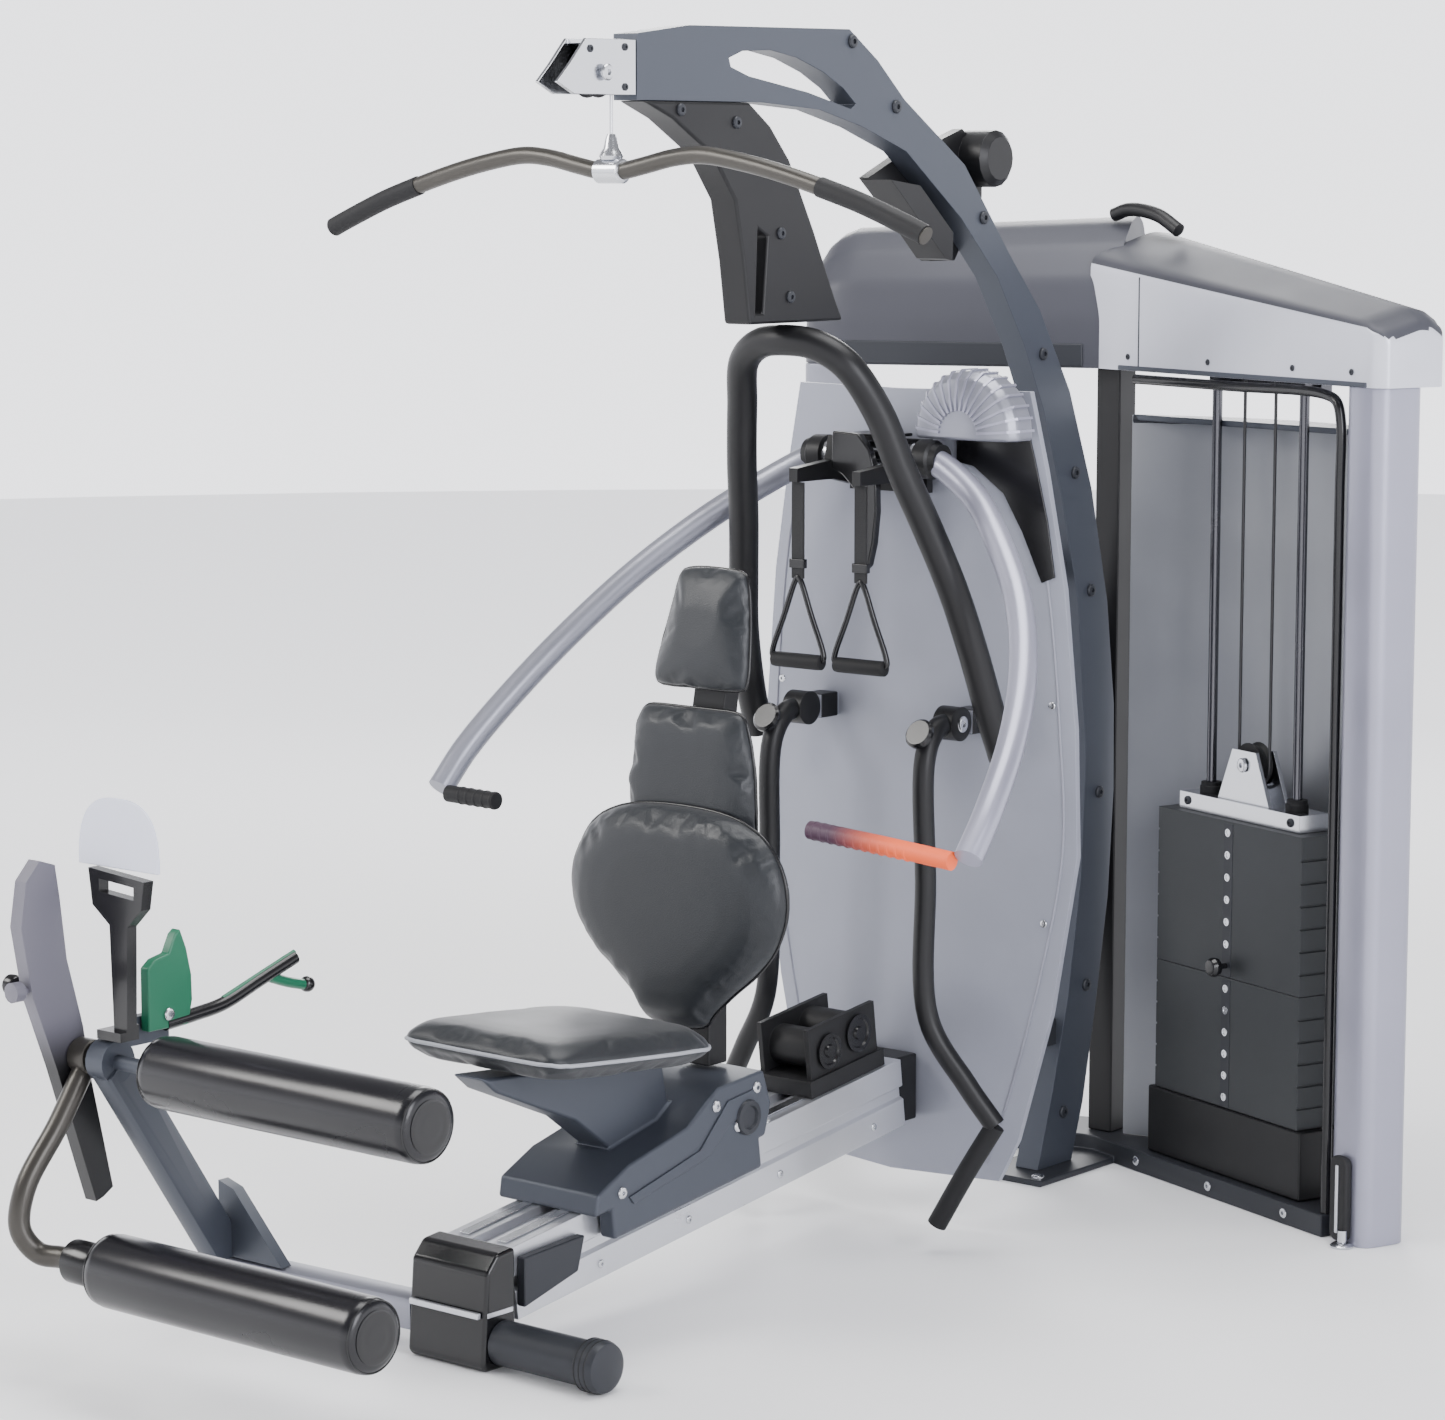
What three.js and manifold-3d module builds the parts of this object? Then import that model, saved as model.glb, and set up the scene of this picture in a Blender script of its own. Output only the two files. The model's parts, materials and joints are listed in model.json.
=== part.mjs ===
// Multi station home gym: a weight-stack tower with a lat arch, press arms, a sliding seat
// on an inclined rail and a leg-extension unit. Millimetres, +Z up. The user sits facing -Y.
// The origin is on the floor under the tower's foot plate, at the machine's centre plane (X = 0).
import * as THREE from "three";
import { mergeVertices } from "three/addons/utils/BufferGeometryUtils.js";
import Module from "manifold-3d";

const wasm = await Module();
wasm.setup();

// ---------- Driving dimensions ----------
const GAP = 0.5; // clearance kept between pieces that meet
const DEG = Math.PI / 180;

const WING_SWEEP = 20 * DEG; // each side wing is swept forward from the mast
const WING_ROOT_Y = 150;
const WING_RIGHT = 775; // column centre along the right wing
const WING_LEFT = 560;
const WING_FRONT = -80; // front plane of beam and hood, in the wing's own frame
const HOOD_BOTTOM = 1485;
const HOOD_TOP_RIGHT = 1736;
const HOOD_TOP_LEFT = 1766;
const BASE_HEIGHT = 40;
const COLUMN_SIZE = 100;

const ARCH_THICK = 50;
const HEAD_Y = -1340; // head pulley centre
const HEAD_Z = 2000;
const HEAD_PULLEY_R = 40;
const LAT_Y = HEAD_Y + HEAD_PULLEY_R; // the lat cable hangs from the pulley's rear side
const LAT_BAR_HALF = 620;

const NOSE_Y = -555; // front crease of the shroud panel
const SHROUD_HALF = 345;
const SHROUD_SETBACK = 70; // how far the panel's side edges lie behind its nose
const SHROUD_THICK = 12;

const PRESS_Y = -610; // press arm pivot
const PRESS_Z = 1360;
const PRESS_HALF_HUB = 110;
const ROW_X = 165;
const ROW_PIVOT_Y = -600;
const ROW_PIVOT_Z = 910;
const STRAP_X = 68;
const STRAP_Y = -737;
const STRAP_TOP = 1320;

const RAIL_SLOPE = 7.3 * DEG;
const RAIL_FRONT = new THREE.Vector3(0, -1614, 124); // centre of the rail's front end
const RAIL_LENGTH = 1010;
const RAIL_WIDTH = 140;
const RAIL_HEIGHT = 120;

const STACK_CENTRE = 410; // along the right wing
const STACK_WIDTH = 420;
const STACK_DEPTH = 110;
const STACK_SPLIT = 405; // height of the joint between resting and selected plates
const STACK_TOP = 690;
const STACK_PULLEY_R = 40;
const STACK_PULLEY_Z = 790;
const ROD_OFFSET = 125;

const LEG_AXIS_Y = -2030; // upper roller and leg pivot
const LEG_AXIS_Z = 486;
const SHIN_AXIS_Y = -2145; // lower roller
const SHIN_AXIS_Z = 200;
const ROLLER_R = 57;
const ROLLER_LEFT = -278;
const ROLLER_RIGHT = 292;
const AXLE_R = 12;

// ---------- Materials ----------
const paint = (color, roughness, metalness) =>
  new THREE.MeshStandardMaterial({ color, roughness, metalness });
const SLATE = paint(0x5c616c, 0.5, 0.4);
const BLACK = paint(0x1b1c1f, 0.5, 0.2);
const SILVER = paint(0xb9bbca, 0.4, 0.6);
const SHELL = paint(0xa9abbb, 0.45, 0.3);
const DARK = paint(0x3c3f44, 0.5, 0.4);
const PLATE_GREY = paint(0x515458, 0.6, 0.5);
const STEEL = paint(0xd5d7dc, 0.25, 0.9);
const BRONZE = paint(0x4a4741, 0.4, 0.6);
const VINYL = paint(0x202225, 0.45, 0.0);
const ORANGE = paint(0xe0582a, 0.5, 0.0);
const GREEN = paint(0x1f6b4c, 0.5, 0.0);
const WHITE = paint(0xd9dbe4, 0.4, 0.0);

// ---------- Geometry helpers ----------
const gym = new THREE.Group();

function add(name, geometry, material, parent = gym) {
  const mesh = new THREE.Mesh(geometry, material);
  mesh.name = name;
  parent.add(mesh);
  return mesh;
}

function toSolid(geometry) {
  const bare = geometry.index ? geometry.toNonIndexed() : geometry.clone();
  bare.deleteAttribute("normal");
  bare.deleteAttribute("uv");
  const merged = mergeVertices(bare, 1e-3);
  return new wasm.Manifold(
    new wasm.Mesh({
      numProp: 3,
      vertProperties: merged.attributes.position.array,
      triVerts: new Uint32Array(merged.index.array),
    }),
  );
}

function toGeometry(solid) {
  const mesh = solid.getMesh();
  const geometry = new THREE.BufferGeometry();
  geometry.setAttribute("position", new THREE.BufferAttribute(mesh.vertProperties, 3));
  geometry.setIndex(new THREE.BufferAttribute(mesh.triVerts, 1));
  return geometry;
}

function join(...pieces) {
  const solids = pieces.map(toSolid);
  return toGeometry(solids.reduce((a, b) => a.add(b)));
}

function cut(body, ...tools) {
  let solid = toSolid(body);
  for (const tool of tools) solid = solid.subtract(toSolid(tool));
  return toGeometry(solid);
}

// A box given by its lowest and highest corners.
function box(x0, x1, y0, y1, z0, z1) {
  const geometry = new THREE.BoxGeometry(x1 - x0, y1 - y0, z1 - z0);
  return geometry.translate((x0 + x1) / 2, (y0 + y1) / 2, (z0 + z1) / 2);
}

function outline(points) {
  return new THREE.Shape(points.map(([u, v]) => new THREE.Vector2(u, v)));
}

function roundedRect(width, height, radius, steps = 2) {
  const points = [];
  const corners = [[1, 1, 0], [-1, 1, 90], [-1, -1, 180], [1, -1, 270]];
  for (const [sx, sy, start] of corners)
    for (let i = 0; i <= steps; i++) {
      const a = (start + (90 * i) / steps) * DEG;
      points.push([
        sx * (width / 2 - radius) + radius * Math.cos(a),
        sy * (height / 2 - radius) + radius * Math.sin(a),
      ]);
    }
  return outline(points);
}

function circle(radius, sides = 12) {
  const points = [];
  for (let i = 0; i < sides; i++) {
    const a = (2 * Math.PI * i) / sides;
    points.push([radius * Math.cos(a), radius * Math.sin(a)]);
  }
  return outline(points);
}

// A plate drawn in the side view: shape x is +Y, shape y is +Z, thickness along X.
const SIDE_VIEW = new THREE.Matrix4().makeBasis(
  new THREE.Vector3(0, 1, 0), new THREE.Vector3(0, 0, 1), new THREE.Vector3(1, 0, 0));
function sidePlate(shape, xFrom, xTo) {
  const geometry = new THREE.ExtrudeGeometry(shape, { depth: xTo - xFrom, bevelEnabled: false });
  return geometry.applyMatrix4(SIDE_VIEW).translate(xFrom, 0, 0);
}

// A plate drawn in the front view: shape x is +X, shape y is +Z, thickness towards -Y.
function frontPlate(shape, yFront, yBack) {
  const geometry = new THREE.ExtrudeGeometry(shape, { depth: yBack - yFront, bevelEnabled: false });
  return geometry.rotateX(Math.PI / 2).translate(0, yBack, 0);
}

// A bar of the given section from a to b; section x stays level, section y points up.
function bar(a, b, section) {
  const from = new THREE.Vector3(...a);
  const along = new THREE.Vector3(...b).sub(from);
  const length = along.length();
  along.normalize();
  const up = Math.abs(along.z) > 0.99 ? new THREE.Vector3(0, 1, 0) : new THREE.Vector3(0, 0, 1);
  const level = new THREE.Vector3().crossVectors(up, along).normalize();
  const rise = new THREE.Vector3().crossVectors(along, level);
  const frame = new THREE.Matrix4().makeBasis(level, rise, along).setPosition(from);
  const geometry = new THREE.ExtrudeGeometry(section, { depth: length, bevelEnabled: false });
  return geometry.applyMatrix4(frame);
}

// A round tube along a smooth curve through the points.
function tube(points, radius, steps, sides = 10) {
  const curve = new THREE.CatmullRomCurve3(
    points.map((p) => new THREE.Vector3(...p)), false, "centripetal");
  return new THREE.ExtrudeGeometry(circle(radius, sides), { steps, extrudePath: curve });
}

// A turned solid on the X axis: profile points are [radius, x].
function turnedX(profile, sides, x, y, z) {
  const points = profile.map(([r, h]) => new THREE.Vector2(r, h));
  const geometry = new THREE.LatheGeometry(points, sides);
  return geometry.rotateZ(-Math.PI / 2).translate(x, y, z);
}

function discX(radius, x0, x1, y, z, sides = 20) {
  return turnedX([[0, x0], [radius, x0], [radius, x1], [0, x1]], sides, 0, y, z);
}

// A grooved pulley on the X axis.
function pulleyX(radius, width, stub, stubR, y, z) {
  const w = width / 2;
  const groove = radius - 6;
  const profile = [[0, -stub], [stubR, -stub], [stubR, -w], [radius, -w], [groove, -w / 3],
    [groove, w / 3], [radius, w], [stubR, w], [stubR, stub], [0, stub]];
  return turnedX(profile, 24, 0, y, z);
}

const mirrored = (points, side) => points.map(([x, y, z]) => [side * x, y, z]);

// ---------- Tower frame ----------
const rightWing = new THREE.Group();
rightWing.position.set(0, WING_ROOT_Y, 0);
rightWing.rotation.z = -WING_SWEEP;
const leftWing = new THREE.Group();
leftWing.position.set(0, WING_ROOT_Y, 0);
leftWing.rotation.z = WING_SWEEP;
gym.add(rightWing, leftWing);

function inWing(geometry, side) {
  return geometry.rotateZ(-side * WING_SWEEP).translate(0, WING_ROOT_Y, 0);
}

function makeBaseFrame() {
  const beamBack = 60;
  const right = inWing(box(20, WING_RIGHT - 51, WING_FRONT, beamBack, 0, BASE_HEIGHT), 1);
  const left = inWing(box(51 - WING_LEFT, -20, WING_FRONT, beamBack, 0, BASE_HEIGHT), -1);
  const footPlate = box(-75, 75, -200, 215, 0, 12);
  const cheek = box(-60, 60, 60, 215, 0, BASE_HEIGHT);
  add("base_frame", join(footPlate, right, left, cheek), DARK);
}

function makeColumns() {
  const section = roundedRect(COLUMN_SIZE, COLUMN_SIZE, 26, 4);
  const height = HOOD_BOTTOM - GAP;
  for (const [name, wing, x] of [
    ["column_right", rightWing, WING_RIGHT],
    ["column_left", leftWing, -WING_LEFT],
  ]) {
    const post = new THREE.ExtrudeGeometry(section, { depth: height, bevelEnabled: false });
    const mesh = add(name, post, SILVER, wing);
    mesh.position.set(x, -20, 0);
  }
  const cover = frontPlate(roundedRect(44, 150, 14, 3), -88, -70 - GAP);
  add("foot_cover_right", cover.translate(WING_RIGHT, 0, 82), BLACK, rightWing);
}

// The arch: one slate plate from the foot, over the user, to the head pulley.
function makeArch() {
  const rear = [[-1262, 2062], [-1133, 2078], [-718, 2082], [-640, 2032], [-564, 1967], [-390, 1857],
    [-253, 1699], [-160, 1600], [-63, 1450], [10, 1270], [66, 1055], [92, 860], [95, 700],
    [80, 500], [45, 302], [5, 118], [-30, 12 + GAP]];
  const front = [[-140, 12 + GAP], [-95, 150], [-48, 323], [-10, 543], [2, 766], [-30, 1067],
    [-85, 1255], [-145, 1420], [-205, 1535], [-290, 1660], [-400, 1765], [-505, 1840],
    [-560, 1880], [-680, 1920], [-800, 1948], [-950, 1958], [-1262, 1958]];
  const arch = outline([...rear, ...front]);
  arch.holes.push(outline([[-1030, 2014], [-985, 2000], [-830, 1976], [-714, 1950], [-700, 1958], [-735, 1984],
    [-790, 2010], [-860, 2032], [-930, 2043], [-1000, 2040], [-1035, 2028]]));
  add("arch_frame", sidePlate(arch, -ARCH_THICK / 2, ARCH_THICK / 2), SLATE);

  const mastBottom = BASE_HEIGHT + GAP;
  add("mast", box(-26, 26, 97, 150, mastBottom, HOOD_BOTTOM - GAP), BLACK);
}

// Black bracket on the arch's left cheek, with a cable knob behind the arch.
function makeMastBracket() {
  const cheekFrom = -ARCH_THICK / 2 - 22;
  const cheekTo = -ARCH_THICK / 2 - GAP;
  const cheek = outline([[-600, 1835], [-420, 1690], [-350, 1690], [-270, 1800], [-270, 1880],
    [-330, 1920], [-395, 1900], [-470, 1890]]);
  const web = outline([[-598, 1832], [-560, 1800], [-440, 1695], [-420, 1692], [-418, 1740], [-515, 1822]]);
  const knob = turnedX([[0, cheekFrom + 5], [50, cheekFrom + 5], [50, 20], [38, 30], [0, 30]], 16, 0, -292, 1868);
  add("mast_bracket", join(
    sidePlate(cheek, cheekFrom, cheekTo), sidePlate(web, cheekFrom + 5, 22), knob), BLACK);
}

// A wing hood: a roof section that gets lower and shallower towards its outer end.
function hoodSolid(side, section, inner, outer, endTop, endBack) {
  const slices = 6;
  const span = outer - inner;
  const roof = new THREE.ExtrudeGeometry(outline(section), {
    depth: span, steps: slices, bevelEnabled: false });
  roof.applyMatrix4(SIDE_VIEW);
  const place = roof.attributes.position;
  for (let i = 0; i < place.count; i++) {
    const t = place.getX(i) / span;
    const rise = place.getZ(i) - HOOD_BOTTOM;
    const back = place.getY(i) - WING_FRONT;
    const topShare = 1 + (endTop - 1) * t;
    const backShare = 1 + (endBack - 1) * t;
    place.setXYZ(i, side > 0 ? inner + span * t : -(inner + span * t),
      WING_FRONT + back * backShare, HOOD_BOTTOM + rise * topShare);
  }
  if (side < 0) {
    const flip = roof.attributes.position;
    for (let i = 0; i < flip.count; i += 3) {
      const [x, y, z] = [flip.getX(i), flip.getY(i), flip.getZ(i)];
      flip.setXYZ(i, flip.getX(i + 1), flip.getY(i + 1), flip.getZ(i + 1));
      flip.setXYZ(i + 1, x, y, z);
    }
    const turned = new THREE.BufferGeometry().setAttribute("position", flip);
    return inWing(turned, side);
  }
  return inWing(roof, side);
}

function makeHoods() {
  const reach = 2000;
  const leftHalf = box(-reach, GAP / 2, -reach, reach, 0, 2 * reach);
  const rightHalf = box(-GAP / 2, reach, -reach, reach, 0, 2 * reach);
  const low = [[WING_FRONT, HOOD_BOTTOM], [WING_FRONT, 1678], [-66, 1694], [50, HOOD_TOP_RIGHT - 5],
    [80, HOOD_TOP_RIGHT], [110, HOOD_TOP_RIGHT - 7], [160, 1690], [160, HOOD_BOTTOM]];
  const domed = [[WING_FRONT, HOOD_BOTTOM], [WING_FRONT, 1580], [-66, 1650], [-20, 1712], [40, 1752],
    [90, HOOD_TOP_LEFT], [130, 1750], [160, 1700], [160, HOOD_BOTTOM]];
  const right = hoodSolid(1, low, -70, WING_RIGHT + 62, 0.5, 0.62);
  const left = hoodSolid(-1, domed, -70, WING_LEFT + 58, 0.9, 0.8);
  add("hood_right", cut(right, leftHalf), SHELL);
  add("hood_left", cut(left, rightHalf), SHELL);
}

// Curved silver panel behind the weight stack, bulging backwards.
function makeStackShield() {
  const [from, to] = [60, 690];
  const half = (to - from) / 2;
  const bulge = 96;
  const thickness = 8;
  const [rimFrom, rimTo] = [-25, 62];
  const steps = 10;
  const inside = [];
  const outside = [];
  for (let i = 0; i <= steps; i++) {
    const u = (2 * i) / steps - 1;
    const y = rimFrom + ((rimTo - rimFrom) * i) / steps + bulge * (1 - u * u);
    inside.push([from + half * (u + 1), y]);
    outside.unshift([from + half * (u + 1), y + thickness]);
  }
  const panel = new THREE.ExtrudeGeometry(outline([...inside, ...outside]), {
    depth: 1400 - BASE_HEIGHT - 1, bevelEnabled: false });
  add("stack_shield", panel.translate(0, 0, BASE_HEIGHT + 1), SHELL, rightWing);

  const inner = tube([[120, -62, HOOD_BOTTOM - 16], [400, -62, HOOD_BOTTOM - 16],
    [WING_RIGHT - 90, -62, HOOD_BOTTOM - 18], [WING_RIGHT - 66, -62, HOOD_BOTTOM - 40],
    [WING_RIGHT - 62, -62, HOOD_BOTTOM - 80], [WING_RIGHT - 62, -62, 700],
    [WING_RIGHT - 62, -62, BASE_HEIGHT + GAP]], 9, 16, 8);
  add("inner_frame_tube", inner, BLACK, rightWing);
}

// ---------- Weight stack ----------
function stackBlock(bottom, top, plates) {
  const half = STACK_WIDTH / 2;
  const groove = 3;
  const pitch = (top - bottom) / plates;
  const side = [];
  for (let i = 0; i < plates; i++) {
    const z = bottom + i * pitch;
    side.push([half, z], [half, z + pitch - groove]);
    if (i < plates - 1) side.push([half - groove, z + pitch - groove], [half - groove, z + pitch]);
  }
  side[side.length - 1][1] = top;
  const left = side.map(([x, z]) => [-x, z]).reverse();
  const block = frontPlate(outline([...side, ...left]), -STACK_DEPTH / 2, STACK_DEPTH / 2);
  const channels = [-ROD_OFFSET, ROD_OFFSET].map((x) =>
    new THREE.CylinderGeometry(12.5, 12.5, top - bottom + 20, 12)
      .rotateX(Math.PI / 2).translate(x, 0, (top + bottom) / 2));
  return cut(block, ...channels).translate(STACK_CENTRE, 0, 0);
}

function makeStack() {
  const pedestalTop = 165;
  const pedestal = box(STACK_CENTRE - 225, STACK_CENTRE + 225, -60, 46, BASE_HEIGHT + GAP, pedestalTop);
  add("stack_pedestal", pedestal, BLACK, rightWing);
  add("plates_resting", stackBlock(pedestalTop + GAP, STACK_SPLIT, 6), PLATE_GREY, rightWing);
  add("plates_selected", stackBlock(STACK_SPLIT + GAP, STACK_TOP, 7), PLATE_GREY, rightWing);

  const rodTop = HOOD_BOTTOM - GAP;
  const rods = [-ROD_OFFSET, ROD_OFFSET].map((x) =>
    new THREE.CylinderGeometry(9, 9, rodTop - pedestalTop - 2 * GAP, 12)
      .rotateX(Math.PI / 2).translate(STACK_CENTRE + x, 0, (rodTop + pedestalTop) / 2));
  const tie = box(STACK_CENTRE - 150, STACK_CENTRE + 150, 16, 40, rodTop - 20, rodTop - 2);
  const lugs = [-ROD_OFFSET, ROD_OFFSET].map((x) =>
    box(STACK_CENTRE + x - 12, STACK_CENTRE + x + 12, -10, 30, rodTop - 20, rodTop - 2));
  add("guide_rods", join(...rods, tie, ...lugs), STEEL, rightWing);

  // Lifting head: a beam that rides on the rods, with two cheeks that hold the pulley.
  const beamTop = STACK_TOP + 32;
  let head = join(
    box(STACK_CENTRE - 175, STACK_CENTRE + 175, -34, 34, STACK_TOP + GAP, beamTop),
    ...[-1, 1].map((s) => frontPlate(
      outline([[STACK_CENTRE - 75, beamTop - 2], [STACK_CENTRE + 75, beamTop - 2],
        [STACK_CENTRE + 34, STACK_PULLEY_Z + 26], [STACK_CENTRE - 34, STACK_PULLEY_Z + 26]]),
      s > 0 ? 16 : -24, s > 0 ? 24 : -16)));
  const rodHoles = [-ROD_OFFSET, ROD_OFFSET].map((x) =>
    new THREE.CylinderGeometry(12.5, 12.5, 200, 12).rotateX(Math.PI / 2).translate(STACK_CENTRE + x, 0, beamTop));
  const axleHole = new THREE.CylinderGeometry(8, 8, 80, 12).translate(STACK_CENTRE, 0, STACK_PULLEY_Z);
  head = cut(head, ...rodHoles, axleHole);
  add("stack_head", head, STEEL, rightWing);

  const wheel = pulleyX(STACK_PULLEY_R, 24, 26, 7, 0, 0);
  const wheelMesh = add("stack_pulley", wheel, BLACK, rightWing);
  wheelMesh.rotation.z = Math.PI / 2;
  wheelMesh.position.set(STACK_CENTRE, 0, STACK_PULLEY_Z);

  const wrap = STACK_PULLEY_R + 4;
  const loop = [];
  for (let i = 0; i <= 8; i++) {
    const a = Math.PI + (Math.PI * i) / 8;
    loop.push([wrap * Math.cos(a), 0, STACK_PULLEY_Z + wrap * Math.sin(a)]);
  }
  const falls = [-wrap, wrap].map((x) => bar([x, 0, STACK_PULLEY_Z - 1], [x, 0, rodTop - 4], circle(3, 8)));
  const cable = join(tube(loop, 3, 12, 8), ...falls).translate(STACK_CENTRE, 0, 0);
  add("stack_cable", cable, BLACK, rightWing);

  const pin = new THREE.LatheGeometry(
    [[0, 0], [5, 0], [5, 16], [16, 20], [18, 30], [14, 38], [0, 40]].map((p) => new THREE.Vector2(...p)), 16);
  const pinMesh = add("selector_pin", pin, BLACK, rightWing);
  pinMesh.rotation.x = Math.PI;
  pinMesh.position.set(STACK_CENTRE, -STACK_DEPTH / 2 - GAP, STACK_SPLIT + 22);
}

// ---------- Lat pulldown ----------
function makeLat() {
  const cheekShape = outline([[HEAD_Y - 108, HEAD_Z - 16], [HEAD_Y - 70, HEAD_Z - 34], [LAT_Y + 36, HEAD_Z - 34],
    [LAT_Y + 36, HEAD_Z + 52], [HEAD_Y - 40, HEAD_Z + 52], [HEAD_Y - 80, HEAD_Z + 10]]);
  const housing = join(
    sidePlate(cheekShape, 17, 24), sidePlate(cheekShape, -24, -17),
    box(-24, 24, HEAD_Y - 38, LAT_Y + 36, HEAD_Z + 44, HEAD_Z + 52),
    discX(7, -30, 30, HEAD_Y, HEAD_Z, 12));
  add("head_housing", housing, STEEL);
  const ring = [[8, -12], [HEAD_PULLEY_R, -12], [HEAD_PULLEY_R - 6, -4], [HEAD_PULLEY_R - 6, 4],
    [HEAD_PULLEY_R, 12], [8, 12], [8, -12]];
  add("head_pulley", turnedX(ring, 24, 0, HEAD_Y, HEAD_Z), BLACK);

  const swivelTop = 1905;
  const swivelBottom = 1863;
  const cable = new THREE.CylinderGeometry(3, 3, HEAD_Z - 6 - swivelTop, 8).rotateX(Math.PI / 2);
  add("lat_cable", cable.translate(0, LAT_Y + 4, (HEAD_Z - 6 + swivelTop + GAP) / 2), STEEL);
  const swivel = new THREE.LatheGeometry([[0, 0], [18, 0], [20, 6], [14, 14], [9, 36], [6, swivelTop - swivelBottom],
    [0, swivelTop - swivelBottom]].map((p) => new THREE.Vector2(...p)), 16).rotateX(Math.PI / 2);
  add("lat_swivel", swivel.translate(0, LAT_Y + 4, swivelBottom), STEEL);
  const half = [[0, 1846], [28, 1848], [70, 1856], [130, 1868], [185, 1872], [260, 1862], [360, 1840], [500, 1799],
    [600, 1761], [LAT_BAR_HALF, 1752]];
  const left = half.slice(1).reverse().map(([x, z]) => [-x, LAT_Y + 4, z]);
  const right = half.map(([x, z]) => [x, LAT_Y + 4, z]);
  add("lat_bar", tube([...left, ...right], 14.5, 40, 10), BRONZE);
}

// ---------- Boom and fork ----------
function makeBoom() {
  const boom = outline([[-1250, 1958 - GAP], [-985, 1958 - GAP], [-930, 1920], [-880, 1865], [-815, 1749],
    [-760, 1640], [-735, 1597], [-985, 1597], [-1000, 1700], [-1022, 1800], [-1079, 1873], [-1178, 1930]]);
  boom.holes.push(outline([[-968, 1615], [-950, 1615], [-938, 1740], [-962, 1752]]));
  add("boom", sidePlate(boom, -28, 28), BLACK);
  const half = [[0, -856, 1567], [60, -850, 1560], [110, -832, 1528], [146, -793, 1450], [173, -761, 1350],
    [200, -723, 1250], [227, -690, 1150], [248, -663, 1050], [262, -625, 930], [267, -596, 860]];
  const left = mirrored(half.slice(1), -1).reverse();
  add("fork", tube([...left, ...half], 26, 40, 10), BLACK);
}

// ---------- Shroud ----------
// Sets a front-view plate back in proportion to its distance from the centre plane.
function foldBack(geometry, side) {
  const place = geometry.attributes.position;
  for (let i = 0; i < place.count; i++) {
    const setback = (SHROUD_SETBACK * side * place.getX(i)) / SHROUD_HALF;
    place.setY(i, place.getY(i) + setback);
  }
  return geometry;
}

function makeShroud() {
  const edge = [[205, 95], [240, 170], [300, 400], [344, 680], [338, 900], [316, 1140], [280, 1340], [250, 1475]];
  const halves = [-1, 1].map((side) => {
    const points = [[0, 95], ...edge, [0, 1475]].map(([x, z]) => [side * x, z]);
    const shape = outline(side > 0 ? points : points.reverse());
    return foldBack(frontPlate(shape, NOSE_Y, NOSE_Y + SHROUD_THICK), side);
  });
  const studs = [-ROW_X, ROW_X].map((x) =>
    box(x - 20, x + 20, ROW_PIVOT_Y + 25, NOSE_Y + 43, ROW_PIVOT_Z - 20, ROW_PIVOT_Z + 20));
  add("shroud_panel", join(...halves, ...studs), SHELL);

  const backOfNose = NOSE_Y + SHROUD_THICK + 6;
  const spine = box(-22, 22, backOfNose, backOfNose + 30, 110, 1440);
  const low = box(-22, 22, backOfNose, -78, 240, 290);
  const high = box(-22, 22, backOfNose, -62, 1090, 1140);
  add("shroud_bracket", join(spine, low, high), DARK);

  // Ribbed half-round cowl above the press pivot on the right.
  const cowlX = 178;
  const cowlZ = 1405;
  const dome = new THREE.LatheGeometry([[0, 0], [108, 0], [108, 42], [96, 58], [60, 68], [0, 70]]
    .map((p) => new THREE.Vector2(...p)), 24).rotateX(Math.PI).translate(cowlX, NOSE_Y + 11, cowlZ);
  add("press_cowl", cut(dome, box(cowlX - 200, cowlX + 200, -800, -300, cowlZ - 300, cowlZ - 10)), SILVER);
}

// ---------- Press arms ----------
function makePress() {
  const plateFront = NOSE_Y - 18;
  const plate = box(-84, 84, plateFront, NOSE_Y - 2, PRESS_Z - 62, PRESS_Z + 30);
  const ears = [-1, 1].map((s) => {
    const ear = outline([[plateFront + 1, PRESS_Z - 55], [plateFront + 1, PRESS_Z + 29], [PRESS_Y - 34, PRESS_Z + 36],
      [PRESS_Y - 44, PRESS_Z - 6], [STRAP_Y - 14, PRESS_Z - 16], [STRAP_Y - 14, STRAP_TOP + GAP],
      [PRESS_Y - 40, STRAP_TOP + GAP]]);
    return sidePlate(ear, s * STRAP_X - 9, s * STRAP_X + 9);
  });
  const bore = discX(27, -200, 200, PRESS_Y, PRESS_Z, 20);
  add("press_bracket", cut(join(plate, ...ears), bore), BLACK);
  add("press_hub", discX(26, -PRESS_HALF_HUB, PRESS_HALF_HUB, PRESS_Y, PRESS_Z, 20), STEEL);

  const path = [[PRESS_HALF_HUB + 11, PRESS_Y, PRESS_Z], [160, -614, 1343], [230, -634, 1303], [308, -682, 1246],
    [410, -758, 1150], [483, -845, 1050], [532, -942, 950], [561, -1045, 850], [567, -1105, 785]];
  const gripZ = 777;
  for (const [side, word, inner, colour] of [[-1, "left", 425, BLACK], [1, "right", 255, ORANGE]]) {
    add("press_arm_" + word, tube(mirrored(path, side), 23, 18, 12), SILVER);
    const rise = side > 0 ? 22 : 0;
    const grip = tube([[side * 541, -1112, gripZ + 2], [side * (inner + 541) / 2, -1112, gripZ + rise / 2],
      [side * inner, -1112, gripZ + rise]], 15, 4, 10);
    add("press_grip_" + word, grip, colour);
  }
}

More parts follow.
